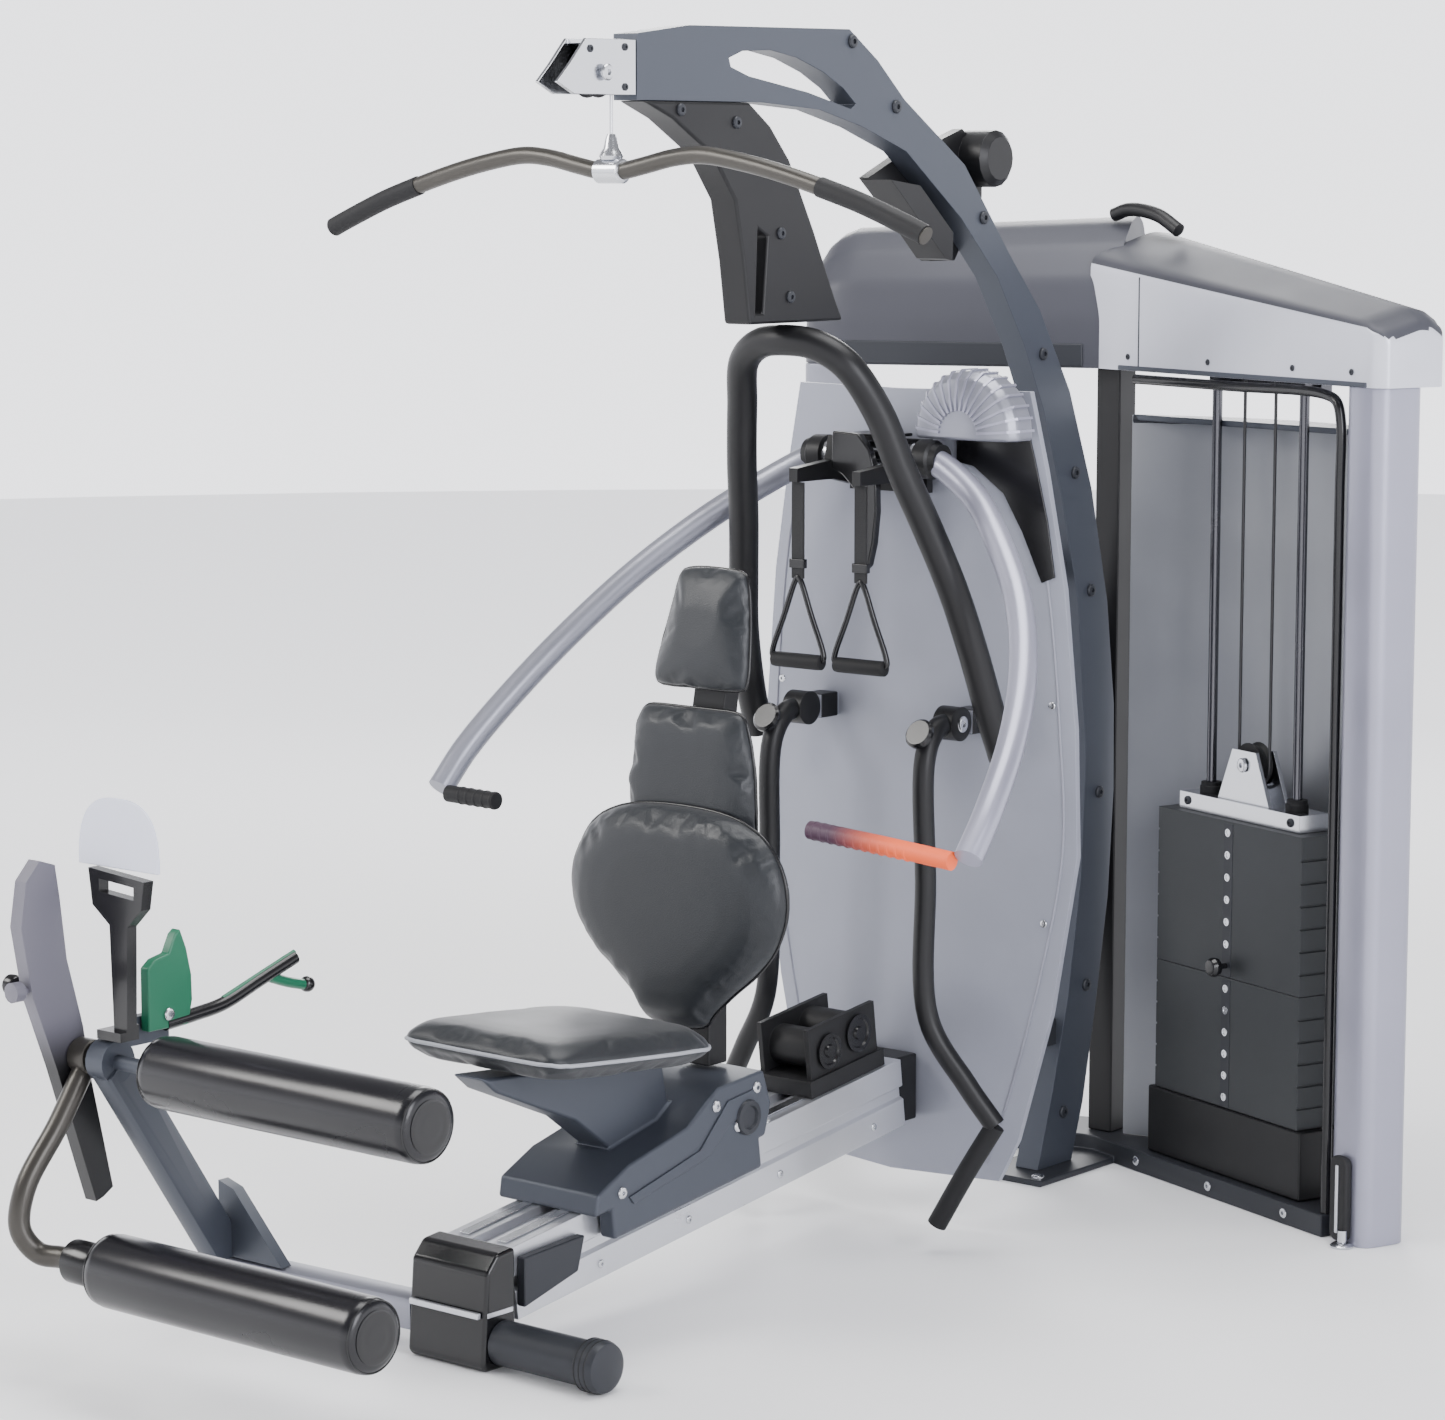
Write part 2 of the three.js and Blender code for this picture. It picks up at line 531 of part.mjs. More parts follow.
// A hand strap: webbing with a triangular stirrup.
function makeStraps() {
  const apexZ = 1160;
  const baseZ = 1012;
  const halfBase = 56;
  for (const [side, word] of [[-1, "left"], [1, "right"]]) {
    const x = side * STRAP_X;
    const webbing = box(x - 13, x + 13, STRAP_Y - 3, STRAP_Y + 3, apexZ - 6, STRAP_TOP - 2);
    const side1 = tube([[x, STRAP_Y, apexZ], [x + halfBase, STRAP_Y, baseZ]], 6, 1, 8);
    const side2 = tube([[x, STRAP_Y, apexZ], [x - halfBase, STRAP_Y, baseZ]], 6, 1, 8);
    const grip = discX(13, x - halfBase - 3, x + halfBase + 3, STRAP_Y, baseZ, 12);
    add("strap_handle_" + word, join(webbing, side1, side2, grip), BLACK);
  }
}

// Row arms hang from pivots on the shroud and end in a bent foot lever.
function makeRowArms() {
  for (const [side, word] of [[-1, "left"], [1, "right"]]) {
    const boss = discX(30, side > 0 ? ROW_X - 22 : -ROW_X - 22, side > 0 ? ROW_X + 22 : 22 - ROW_X,
      ROW_PIVOT_Y - 6, ROW_PIVOT_Z, 16);
    const path = mirrored([[ROW_X, ROW_PIVOT_Y - 6, ROW_PIVOT_Z], [ROW_X, -650, 905], [ROW_X + 2, -684, 860],
      [ROW_X + 6, -686, 650], [ROW_X + 14, -686, 410], [245, -664, 300], [292, -645, 232], [250, -668, 150],
      [200, -686, 52]], side);
    add("row_arm_" + word, join(boss, tube(path, 18, 26, 10)), BLACK);
  }
}

// ---------- Rail ----------
const railFrame = new THREE.Group();
railFrame.position.copy(RAIL_FRONT);
railFrame.rotation.x = RAIL_SLOPE;
gym.add(railFrame);

function makeRail() {
  const half = RAIL_HEIGHT / 2;
  const w = RAIL_WIDTH / 2;
  // Extruded aluminium section with a slot in its top and a groove in each side.
  const section = outline([[-w, -half], [w, -half], [w, -12], [w - 8, -8], [w - 8, 8], [w, 12], [w, half],
    [16, half], [16, half - 14], [-16, half - 14], [-16, half], [-w, half], [-w, 12], [8 - w, 8], [8 - w, -8],
    [-w, -12]]);
  const rail = new THREE.ExtrudeGeometry(section, { depth: RAIL_LENGTH, bevelEnabled: false });
  add("rail", rail.rotateX(Math.PI / 2).translate(0, RAIL_LENGTH, 0), SILVER, railFrame);

  const capBack = RAIL_FRONT.y - 10;
  const cap = outline([[-1700, 10], [-1690, 0], [capBack, 0], [capBack, 188], [-1664, 184], [-1688, 158]]);
  add("rail_front_cap", sidePlate(cap, -82, 82), BLACK);
  // Block between the rail's rear end and the nose of the shroud.
  const mount = outline([[-603.5, 193], [NOSE_Y - 1, 193], [NOSE_Y - 1, 311], [-618.5, 311]]);
  add("rail_rear_mount", sidePlate(mount, -58, 58), BLACK);

  const gusset = outline([[-1610, 88], [-1610, 168], [-1468, 176], [-1484, 120]]);
  add("rail_gusset", sidePlate(gusset, RAIL_WIDTH / 2 + GAP, RAIL_WIDTH / 2 + 18), DARK);

  const foot = turnedX([[0, 0], [36, 0], [36, 178], [41, 182], [41, 214], [36, 220], [0, 220]], 20, 83, -1656, 42);
  add("stabiliser", foot, DARK);
  const lateral = bar([-86, -1660, 62], [-520, -1680, 62], roundedRect(60, 56, 12, 2));
  const pad = box(-516, -466, -1706, -1654, 0, 60);
  add("lateral_beam", join(lateral, pad), SILVER);

  // Cable block at the rear of the rail: a cheek box with two guide wheels.
  const deck = half + GAP;
  const block = join(
    box(-62, 62, 770, 975, deck, deck + 30),
    box(-56, -46, 780, 965, deck + 20, deck + 118), box(46, 56, 780, 965, deck + 20, deck + 118),
    discX(34, -50, 50, 830, deck + 68, 16), discX(34, -50, 50, 912, deck + 76, 16));
  add("pulley_block", block, BLACK, railFrame);
}

// ---------- Carriage and seat ----------
function makeSeat() {
  const deck = RAIL_HEIGHT / 2 + GAP;
  const body = outline([[160, deck], [590, deck], [612, deck + 50], [600, deck + 112], [480, deck + 118],
    [400, deck + 76], [250, deck + 60], [170, deck + 34]]);
  const shelf = outline([[10, 328], [431, 236], [440, 110], [300, 110], [210, 196], [40, 296]]);
  const railToWorld = new THREE.Matrix4().makeRotationX(RAIL_SLOPE).setPosition(RAIL_FRONT);
  const skirtR = box(RAIL_WIDTH / 2 + 3, 106, 200, 575, 10, deck + 30);
  const skirtL = box(-106, -RAIL_WIDTH / 2 - 3, 200, 575, 10, deck + 30);
  const carriage = join(sidePlate(body, -106, 106), sidePlate(shelf, -34, 34), skirtR, skirtL);
  add("carriage", carriage.applyMatrix4(railToWorld), SLATE);

  const pad = new THREE.ExtrudeGeometry(roundedRect(380, 440, 60, 3), {
    depth: 36, bevelEnabled: true, bevelThickness: 12, bevelSize: 12, bevelOffset: -12, bevelSegments: 1 });
  const seat = add("seat_pad", pad.translate(0, 0, 12), VINYL);
  seat.rotation.x = -5 * DEG;
  seat.position.set(0, -1425, 436);
}

function makeBack() {
  const post = outline([[-1098, 376], [-1050, 376], [-1050, 470], [-1024, 960], [-988, 1180], [-1018, 1182],
    [-1062, 960], [-1098, 500]]);
  add("back_post", sidePlate(post, -34, 34), BLACK);

  const halfWidths = [[52, 432], [64, 462], [110, 500], [170, 548], [215, 600], [240, 668], [232, 724], [204, 780],
    [158, 826], [140, 880], [128, 940], [116, 978], [60, 984]];
  const leftSide = halfWidths.map(([x, z]) => [-x, z]).reverse();
  const backShape = outline([...halfWidths, ...leftSide]);
  add("back_pad", frontPlate(backShape, -1172, -1100), VINYL);

  const headShape = outline([[96, 996], [104, 1010], [78, 1190], [64, 1206], [-64, 1206], [-78, 1190],
    [-104, 1010], [-96, 996]]);
  const head = frontPlate(headShape, 0, 46);
  const lean = 11.2 * DEG; // parallel to the upper part of the post
  add("headrest", head.translate(0, 0, -1100).rotateX(-lean).translate(0, -1082.4, 1100), VINYL);
}

// ---------- Leg unit ----------
function makeLegUnit() {
  const postTop = [-392, LEG_AXIS_Y, LEG_AXIS_Z];
  const post = bar([-496, -1700, 94], postTop, roundedRect(38, 74, 10, 2));
  const boss = discX(34, -411, -373, LEG_AXIS_Y, LEG_AXIS_Z, 18);
  const gusset = frontPlate(outline([[-505, 91 + GAP], [-360, 91 + GAP], [-372, 104], [-470, 205], [-505, 215]]), -1702, -1680);
  const axle = discX(AXLE_R, -470, ROLLER_RIGHT - 6, LEG_AXIS_Y, LEG_AXIS_Z, 12);
  const lug = box(-411, -394, -2000, -1905, 500, 545);
  const trimmed = cut(join(post, boss, gusset, axle, lug), box(-600, -300, -1760, -1600, 0, 91 + GAP));
  add("leg_post", trimmed, SLATE);

  const roller = [[AXLE_R + 1, 0], [ROLLER_R - 8, 0], [ROLLER_R, 8], [ROLLER_R, 562], [ROLLER_R - 8, 570],
    [AXLE_R + 1, 570], [AXLE_R + 1, 0]];
  add("upper_roller", turnedX(roller, 24, ROLLER_LEFT, LEG_AXIS_Y, LEG_AXIS_Z), VINYL);
  add("lower_roller", turnedX(roller, 24, ROLLER_LEFT, SHIN_AXIS_Y, SHIN_AXIS_Z), VINYL);

  // Swinging arm: pivot ring, bent tube and the lower roller's axle.
  const ring = discX(28, -462, -426, LEG_AXIS_Y, LEG_AXIS_Z, 18);
  const leverHole = discX(AXLE_R + 1, -600, -412, LEG_AXIS_Y, LEG_AXIS_Z, 12);
  const bend = tube([[-444, LEG_AXIS_Y - 10, LEG_AXIS_Z - 22], [-445, -2090, 390], [-446, -2160, 300], [-440, -2176, 240],
    [-418, -2160, 204], [-380, SHIN_AXIS_Y, SHIN_AXIS_Z], [-340, SHIN_AXIS_Y, SHIN_AXIS_Z]], 17, 20, 10);
  const hub = discX(34, -352, ROLLER_LEFT - 3, SHIN_AXIS_Y, SHIN_AXIS_Z, 16);
  const shinAxle = discX(AXLE_R, -352, ROLLER_RIGHT - 6, SHIN_AXIS_Y, SHIN_AXIS_Z, 12);
  add("leg_arm", cut(join(ring, bend, hub, shinAxle), leverHole), BRONZE);

  // Range lever: a crescent above the pivot and a dark link below it.
  const crescent = outline([[-1985, 250], [-2000, 245], [-2075, 470], [-2120, 590], [-2140, 700], [-2128, 770],
    [-2100, 800], [-2070, 790], [-2062, 740], [-2050, 640], [-2020, 530], [-2005, 440], [-1965, 262]]);
  const knob = turnedX([[0, 0], [6, 0], [6, 22], [16, 26], [16, 44], [0, 46]], 12, 0, 0, 0)
    .rotateZ(-Math.PI / 2).translate(-477, -2108, 600);
  add("range_lever", cut(join(sidePlate(crescent, -490, -464), knob), leverHole), SLATE);

  // Black grab handle that stands on the post, with the placard above it.
  const stemX = -365;
  const grabShape = outline([[-14, 540], [16, 540], [20, 700], [52, 730], [60, 775], [-66, 785], [-58, 728], [-20, 700]]);
  grabShape.holes.push(outline([[-42, 750], [36, 744], [36, 764], [-42, 770]]));
  const stem = frontPlate(grabShape, -2032, -2012).translate(stemX, 0, 0);
  const foot = join(box(stemX - 14, stemX + 14, -2032, -2006, LEG_AXIS_Z + 36, 545),
    box(-405, stemX + 14, -2044, -2006, LEG_AXIS_Z + 35 + GAP, LEG_AXIS_Z + 50));
  add("grab_handle", join(stem, foot), BLACK);
  const placard = [];
  for (let i = 0; i <= 12; i++) {
    const a = (Math.PI * i) / 12;
    placard.push([89 * Math.cos(a), 786 + 112 * Math.sin(a)]);
  }
  add("placard", frontPlate(outline(placard), -2026, -2018).translate(stemX - 6, 0, 0), WHITE);

  // Start lever: green cam plate on a black arm that reaches back towards the seat.
  const cam = sidePlate(outline([[-1968, 520], [-1880, 520], [-1872, 600], [-1896, 680], [-1920, 640], [-1968, 640]]), -392, -372);
  const reach = tube([[-382, -1925, 528], [-382, -1800, 540], [-382, -1640, 592]], 11, 5, 8);
  const tee = tube([[-382, -1700, 568], [-382, -1610, 540]], 9, 2, 8);
  add("start_lever", join(cam, reach, tee), GREEN);
}

makeBaseFrame();
makeColumns();
makeArch();
makeMastBracket();
makeHoods();
makeStackShield();
makeStack();
makeLat();
makeBoom();
makeShroud();
makePress();
makeStraps();
makeRowArms();
makeRail();
makeSeat();
makeBack();
makeLegUnit();

export default gym;
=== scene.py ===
# Looks of the multi station home gym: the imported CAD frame, dressed with materials and
# edge rounding, and finer pieces for its tubes, pads, rollers, hoods and fittings. Metres, +Z up.
import itertools
import json
import math
import bpy
import bmesh
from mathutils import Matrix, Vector

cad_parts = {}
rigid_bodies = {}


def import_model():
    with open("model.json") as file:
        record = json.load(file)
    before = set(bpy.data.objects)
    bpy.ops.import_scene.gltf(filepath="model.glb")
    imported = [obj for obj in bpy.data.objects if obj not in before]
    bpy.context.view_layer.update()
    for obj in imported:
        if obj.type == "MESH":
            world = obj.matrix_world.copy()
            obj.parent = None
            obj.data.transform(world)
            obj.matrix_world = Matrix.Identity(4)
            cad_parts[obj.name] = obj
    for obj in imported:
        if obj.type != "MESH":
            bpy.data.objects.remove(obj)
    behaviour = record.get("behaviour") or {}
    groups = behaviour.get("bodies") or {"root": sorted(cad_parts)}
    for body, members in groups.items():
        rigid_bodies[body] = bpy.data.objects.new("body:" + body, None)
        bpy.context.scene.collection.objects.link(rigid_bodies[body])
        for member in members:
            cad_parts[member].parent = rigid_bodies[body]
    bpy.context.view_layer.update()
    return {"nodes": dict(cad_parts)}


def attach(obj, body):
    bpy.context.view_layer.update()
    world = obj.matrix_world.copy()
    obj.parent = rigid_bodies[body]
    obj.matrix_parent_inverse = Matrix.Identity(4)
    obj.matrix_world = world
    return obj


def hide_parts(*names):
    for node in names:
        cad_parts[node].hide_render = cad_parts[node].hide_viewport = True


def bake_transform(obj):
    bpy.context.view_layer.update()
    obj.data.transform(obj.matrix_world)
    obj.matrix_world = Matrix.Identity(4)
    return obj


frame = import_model()
nodes = frame["nodes"]

# ---------- Driving dimensions ----------
CAMERA_PLACE = (4.2485, -6.139, 1.855)
CAMERA_TILT = 82.35  # degrees from straight down
CAMERA_TURN = 39.7
CAMERA_LENS = 100.9

SWEEP = math.radians(20)  # the wings are swept forward from the mast
WING_ROOT = 0.150
WING_FRONT = -0.080
HOOD_BOTTOM = 1.485
NOSE = -0.555  # front crease of the shroud panel
SHROUD_FALL = 0.070 / 0.345  # how fast the panel falls back from its nose
STACK_X = 0.410
STACK_FRONT = -0.055
RAIL_SLOPE = math.radians(7.3)
RAIL_ORIGIN = Vector((0, -1.614, 0.124))
LAT_Y = -1.296
FLOOR_GLOW_REACH = (1.2, 7.0)  # distances from the origin between which it comes up
PIN_HEIGHT = 0.427  # of the selector pin
PULLEY_HEIGHT = 0.790  # axle of the lifting pulley
PULLEY_REACH = 0.044  # from that axle to the middle of its cable
PRESS_AXIS = (-0.610, 1.360)  # this and the next three are (y, z) of hinges that lie along x
ROW_AXIS = (-0.606, 0.910)
KNEE_AXIS = (-2.030, 0.486)
SHIN_AXIS = (-2.145, 0.200)
ROW_X = 0.165
STRAP_X = 0.068
STRAP_Y = -0.737
LEVER_X = -0.382
LEVER_HINGE_Y = -1.925
HEAD_MIDDLE = 1.100  # height of the headrest's middle
HEAD_LEAN = math.radians(11.2)
SEAT_LEAN = math.radians(-5)
FLOOR_RADIUS = 16
STUDIO_WHITE = (0.95, 0.955, 1.0)
SIDES = ((-1, "left"), (1, "right"))
HORIZON_TOP = 0.08  # sine of the angle up to which the studio walls stay bright
SKY_START = 0.45
HORIZON_GLOW = 2.7
SKY_GLOW = 0.40
FLOOR_GLOW = 1.25  # light of the far floor, so that it joins the walls
PAD_VOXEL = 0.005
CLOTH_FRAMES = 20
PAD_GROWTH = 0.010  # furthest a point of a pad may move in its simulation

# ---------- Camera, floor and light ----------
def make_camera():
    data = bpy.data.cameras.new("camera")
    data.lens = CAMERA_LENS
    data.sensor_width = 36
    data.clip_end = 100
    camera = bpy.data.objects.new("camera", data)
    camera.location = CAMERA_PLACE
    camera.rotation_euler = (math.radians(CAMERA_TILT), 0, math.radians(CAMERA_TURN))
    bpy.context.scene.collection.objects.link(camera)
    bpy.context.scene.camera = camera


def area_light(name, place, target, size, power, color=(1, 1, 1)):
    data = bpy.data.lights.new(name, "AREA")
    data.shape = "RECTANGLE"
    data.size = size[0]
    data.size_y = size[1]
    data.energy = power
    data.color = color
    light = bpy.data.objects.new(name, data)
    light.location = place
    aim = Vector(target) - Vector(place)
    light.rotation_euler = aim.to_track_quat("-Z", "Y").to_euler()
    bpy.context.scene.collection.objects.link(light)


def link(tree, source, output, target, socket):
    tree.links.new(source.outputs[output], target.inputs[socket])


def set_inputs(node, values):
    for name, value in values.items():
        node.inputs[name].default_value = value


def ramp_node(tree, low, high, at_low, at_high):
    """A smooth change from at_low to at_high while its value goes from low to high."""
    node = tree.nodes.new("ShaderNodeMapRange")
    node.interpolation_type = "SMOOTHSTEP"
    settings = {"From Min": low, "From Max": high, "To Min": at_low, "To Max": at_high}
    set_inputs(node, settings)
    return node


def make_light():
    world = bpy.data.worlds.new("studio")
    bpy.context.scene.world = world
    world.use_nodes = True
    tree = world.node_tree
    sky = tree.nodes["Background"]
    sky.inputs["Color"].default_value = (*STUDIO_WHITE, 1)
    place = tree.nodes.new("ShaderNodeTexCoord")
    split = tree.nodes.new("ShaderNodeSeparateXYZ")
    height = ramp_node(tree, HORIZON_TOP, SKY_START, HORIZON_GLOW, SKY_GLOW)
    link(tree, place, "Generated", split, 0)
    link(tree, split, "Z", height, "Value")
    link(tree, height, "Result", sky, "Strength")
    area_light("key", (-3.4, -5.2, 4.6), (0.1, -0.8, 0.9), (3.0, 2.2), 300, (1.0, 0.985, 0.96))
    area_light("fill", (5.2, -2.6, 2.9), (0.2, -0.7, 0.9), (2.4, 3.0), 250, (0.93, 0.94, 1.0))
    area_light("top", (0.4, -0.6, 5.2), (0.1, -0.7, 0.8), (3.2, 3.2), 260)
    area_light("rim", (-3.0, 3.6, 3.4), (0.0, -0.4, 1.1), (2.4, 2.4), 190)


def make_floor(material):
    mesh = bpy.data.meshes.new("floor")
    turns = [math.radians(5 * i) for i in range(72)]
    rim = [(FLOOR_RADIUS * math.cos(a), FLOOR_RADIUS * math.sin(a), 0.0) for a in turns]
    mesh.from_pydata(rim, [], [tuple(range(72))])
    mesh.materials.append(material)
    floor = bpy.data.objects.new("floor", mesh)
    bpy.context.scene.collection.objects.link(floor)


# ---------- Materials ----------
def tint_between(tree, first, second, source, output):
    """Mixes the base colour from two colours by a node's output."""
    mix = tree.nodes.new("ShaderNodeMix")
    mix.data_type = "RGBA"
    mix.inputs[6].default_value = (*first, 1)
    mix.inputs[7].default_value = (*second, 1)
    link(tree, source, output, mix, 0)
    tree.links.new(mix.outputs[2], tree.nodes["Principled BSDF"].inputs["Base Color"])


def surface(name, color, roughness, metallic=0.0, grain=900.0, bump=0.15, depth=0.0003,
            mottle=0.08, wear=0.08, brushed=None, coat=0.0, sheen=0.0, leather=False, specular=0.5):
    """A procedural finish: fine grain in the normal, slow mottling in colour and roughness."""
    material = bpy.data.materials.new(name)
    material.use_nodes = True
    tree = material.node_tree
    shader = tree.nodes["Principled BSDF"]
    set_inputs(shader, {"Metallic": metallic, "Coat Weight": coat, "Coat Roughness": 0.12,
                        "Sheen Weight": sheen, "Specular IOR Level": specular})
    place = tree.nodes.new("ShaderNodeTexCoord")
    stretch = tree.nodes.new("ShaderNodeMapping")
    stretch.inputs["Scale"].default_value = brushed or (1, 1, 1)
    link(tree, place, "Object", stretch, "Vector")
    fine = tree.nodes.new("ShaderNodeTexVoronoi" if leather else "ShaderNodeTexNoise")
    fine.inputs["Scale"].default_value = grain
    link(tree, stretch, "Vector", fine, "Vector")
    relief = tree.nodes.new("ShaderNodeBump")
    set_inputs(relief, {"Strength": bump, "Distance": depth})
    link(tree, fine, "Distance" if leather else "Fac", relief, "Height")
    link(tree, relief, "Normal", shader, "Normal")
    slow = tree.nodes.new("ShaderNodeTexNoise")
    set_inputs(slow, {"Scale": 7.0, "Detail": 6.0})
    link(tree, place, "Object", slow, "Vector")
    tint_between(tree, [c * (1 - mottle) for c in color], [min(1, c * (1 + mottle)) for c in color],
                 slow, "Fac")
    gloss = tree.nodes.new("ShaderNodeMapRange")
    set_inputs(gloss, {"To Min": max(0.04, roughness - wear), "To Max": min(1.0, roughness + wear)})
    link(tree, slow, "Fac", gloss, "Value")
    link(tree, gloss, "Result", shader, "Roughness")
    return material


def fading_surface(name, pale, dark, axis, at_pale, at_dark, roughness):
    """A finish whose colour fades along one axis."""
    material = surface(name, pale, roughness, grain=700, bump=0.3, depth=0.0005)
    tree = material.node_tree
    place = tree.nodes.new("ShaderNodeTexCoord")
    parts = tree.nodes.new("ShaderNodeSeparateXYZ")
    link(tree, place, "Object", parts, "Vector")
    along = ramp_node(tree, at_dark, at_pale, 0.0, 1.0)
    link(tree, parts, axis, along, "Value")
    tint_between(tree, dark, pale, along, "Result")
    return material


SLATE = surface("slate_paint", (0.052, 0.059, 0.076), 0.44, 0.35)
BLACK = surface("black_paint", (0.006, 0.006, 0.007), 0.42, 0.0, specular=0.32)
DARK = surface("dark_paint", (0.026, 0.028, 0.034), 0.44, 0.2, specular=0.35)
# Silver and lilac are darker and lighter copies of one paint. Besides their other uses, the left column and
# left press arm take the silver as painted shade, and the right ones take the lilac as painted light.
SILVER = surface("silver_paint", (0.255, 0.26, 0.305), 0.34, 0.55)
LILAC = surface("lilac_paint", (0.31, 0.31, 0.385), 0.33, 0.50)
# A much lighter copy of the lilac paint for the hoods' side faces: a pale paint, part of whose lightness is
# painted highlight.
PALE_AND_HIGHLIGHT = surface("pale_paint_and_highlight", (0.58, 0.59, 0.66), 0.34, 0.30)
SHELL = surface("silver_shell", (0.265, 0.275, 0.325), 0.42, 0.30, bump=0.25)
SHIELD = surface("shield_shell", (0.33, 0.34, 0.365), 0.38, 0.50)
ROOF = surface("slate_roof", (0.050, 0.051, 0.062), 0.50, 0.0, bump=0.3, specular=0.25)
DOME = surface("grey_dome", (0.052, 0.053, 0.065), 0.42, 0.1, bump=0.3, specular=0.3)
ALUMINIUM = surface("brushed_aluminium", (0.62, 0.63, 0.67), 0.30, 0.85, grain=60,
                    brushed=(60, 1, 60), bump=0.12)
STEEL = surface("bright_steel", (0.60, 0.61, 0.64), 0.22, 1.0, grain=400, bump=0.06)
ROD_STEEL = surface("dark_steel", (0.10, 0.10, 0.11), 0.25, 1.0, grain=400, bump=0.06)
PLATES = surface("iron_plates", (0.045, 0.048, 0.051), 0.48, 0.45, grain=500, bump=0.35, depth=0.0006,
                 specular=0.35)
GLOSS = surface("gloss_moulding", (0.005, 0.005, 0.006), 0.24, 0.0, bump=0.08, coat=0.15, specular=0.4)
MATTE = surface("matte_moulding", (0.008, 0.008, 0.009), 0.55, 0.0, bump=0.4, specular=0.35)
RUBBER = surface("ribbed_rubber", (0.007, 0.007, 0.008), 0.62, 0.0, grain=350, bump=0.5, depth=0.0006,
                 specular=0.3)
WEBBING = surface("black_webbing", (0.008, 0.008, 0.009), 0.75, 0.0, grain=120, bump=0.6,
                  depth=0.0008, brushed=(1, 1, 8), sheen=0.2, specular=0.3)
VINYL = surface("charcoal_vinyl", (0.009, 0.011, 0.014), 0.42, 0.0, grain=420, bump=0.35,
                depth=0.0005, sheen=0.1, leather=True, specular=0.4)
ROLLER_VINYL = surface("roller_vinyl", (0.005, 0.005, 0.007), 0.26, 0.0, grain=420, bump=0.16,
                       depth=0.0004, coat=0.1, leather=True, specular=0.4)
PIPING = surface("pale_piping", (0.30, 0.31, 0.34), 0.45, 0.0)
BRONZE = surface("bronze_tube", (0.055, 0.051, 0.045), 0.34, 0.6)
GREEN = surface("green_moulding", (0.006, 0.12, 0.06), 0.35, 0.0)
CARD = surface("white_card", (0.68, 0.70, 0.82), 0.35, 0.0, mottle=0.03)
CABLE = surface("coated_cable", (0.015, 0.015, 0.017), 0.35, 0.0)
PALE_CABLE = surface("pale_cable", (0.62, 0.63, 0.66), 0.30, 0.7)
ORANGE = fading_surface("orange_grip", (0.80, 0.11, 0.025), (0.045, 0.018, 0.038), "X", 0.46, 0.30, 0.55)
LEVER = fading_surface("lever_paint", (0.13, 0.125, 0.155), (0.007, 0.007, 0.008), "Z", 0.56, 0.46, 0.40)
FLOOR = surface("pale_floor", (0.90, 0.90, 0.91), 0.62, 0.0, grain=60, bump=0.02, mottle=0.01)


def light_far_floor():
    """The floor glows further out, like the sweep of a studio."""
    tree = FLOOR.node_tree
    shader = tree.nodes["Principled BSDF"]
    shader.inputs["Emission Color"].default_value = (*STUDIO_WHITE, 1)
    place = tree.nodes.new("ShaderNodeTexCoord")
    reach = tree.nodes.new("ShaderNodeVectorMath")
    reach.operation = "LENGTH"
    link(tree, place, "Object", reach, 0)
    glow = ramp_node(tree, *FLOOR_GLOW_REACH, 0.0, FLOOR_GLOW)
    link(tree, reach, "Value", glow, "Value")
    link(tree, glow, "Result", shader, "Emission Strength")


# ---------- Dressing CAD nodes ----------
def round_edges(obj, width, segments):
    edge = obj.modifiers.new("edge", "BEVEL")
    edge.limit_method = "ANGLE"
    edge.angle_limit = math.radians(32)
    edge.width = width
    edge.segments = segments
    edge.harden_normals = True


def dress(node, material, bevel=0.002, segments=2):
    """Gives a CAD node its material and rounds its edges with modifiers; its mesh stays as packed."""
    obj = nodes[node]
    obj.data.materials.clear()
    obj.data.materials.append(material)
    if "custom_normal" in obj.data.attributes:
        obj.data.attributes.remove(obj.data.attributes["custom_normal"])
    obj.data.shade_smooth()
    weld = obj.modifiers.new("weld", "WELD")
    weld.merge_threshold = 0.00002
    flat = obj.modifiers.new("flat", "DECIMATE")
    flat.decimate_type = "DISSOLVE"
    flat.angle_limit = math.radians(1)
    round_edges(obj, bevel, segments)


# ---------- New pieces ----------
def piece(name, verts, faces, material, body, slot, stands_for=(), bevel=0.0, smooth=40):
    """A new object, riding on a body and standing for the CAD nodes that it replaces; its slot argument is
    not used.
    """
    mesh = bpy.data.meshes.new(name)
    mesh.from_pydata([tuple(v) for v in verts], [], faces)
    work = bmesh.new()
    work.from_mesh(mesh)
    bmesh.ops.remove_doubles(work, verts=work.verts, dist=0.00001)
    bmesh.ops.recalc_face_normals(work, faces=work.faces)
    work.to_mesh(mesh)
    work.free()
    mesh.shade_smooth()
    mesh.set_sharp_from_angle(angle=math.radians(smooth))
    mesh.materials.append(material)
    obj = bpy.data.objects.new(name, mesh)
    bpy.context.scene.collection.objects.link(obj)
    if bevel:
        round_edges(obj, bevel, 3)
    if body:
        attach(obj, body)
    if stands_for:
        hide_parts(*stands_for)
    return obj


def skin(rings, sides, closed=False):
    """Faces between rings of verts, with a cap at each end or the last ring joined to the first."""
    faces = []
    for i in range(rings if closed else rings - 1):
        j = (i + 1) % rings
        for k in range(sides):
            m = (k + 1) % sides
            faces.append((i * sides + k, i * sides + m, j * sides + m, j * sides + k))
    if not closed:
        faces.append(tuple(range(sides)))
        faces.append(tuple((rings - 1) * sides + k for k in range(sides)))
    return faces


def axes_about(axis):
    """Unit vectors along an axis and across it."""
    along = Vector(axis).normalized()
    helper = Vector((0, 0, 1)) if abs(along.z) < 0.9 else Vector((0, 1, 0))
    across = along.cross(helper).normalized()
    return along, across, along.cross(across)


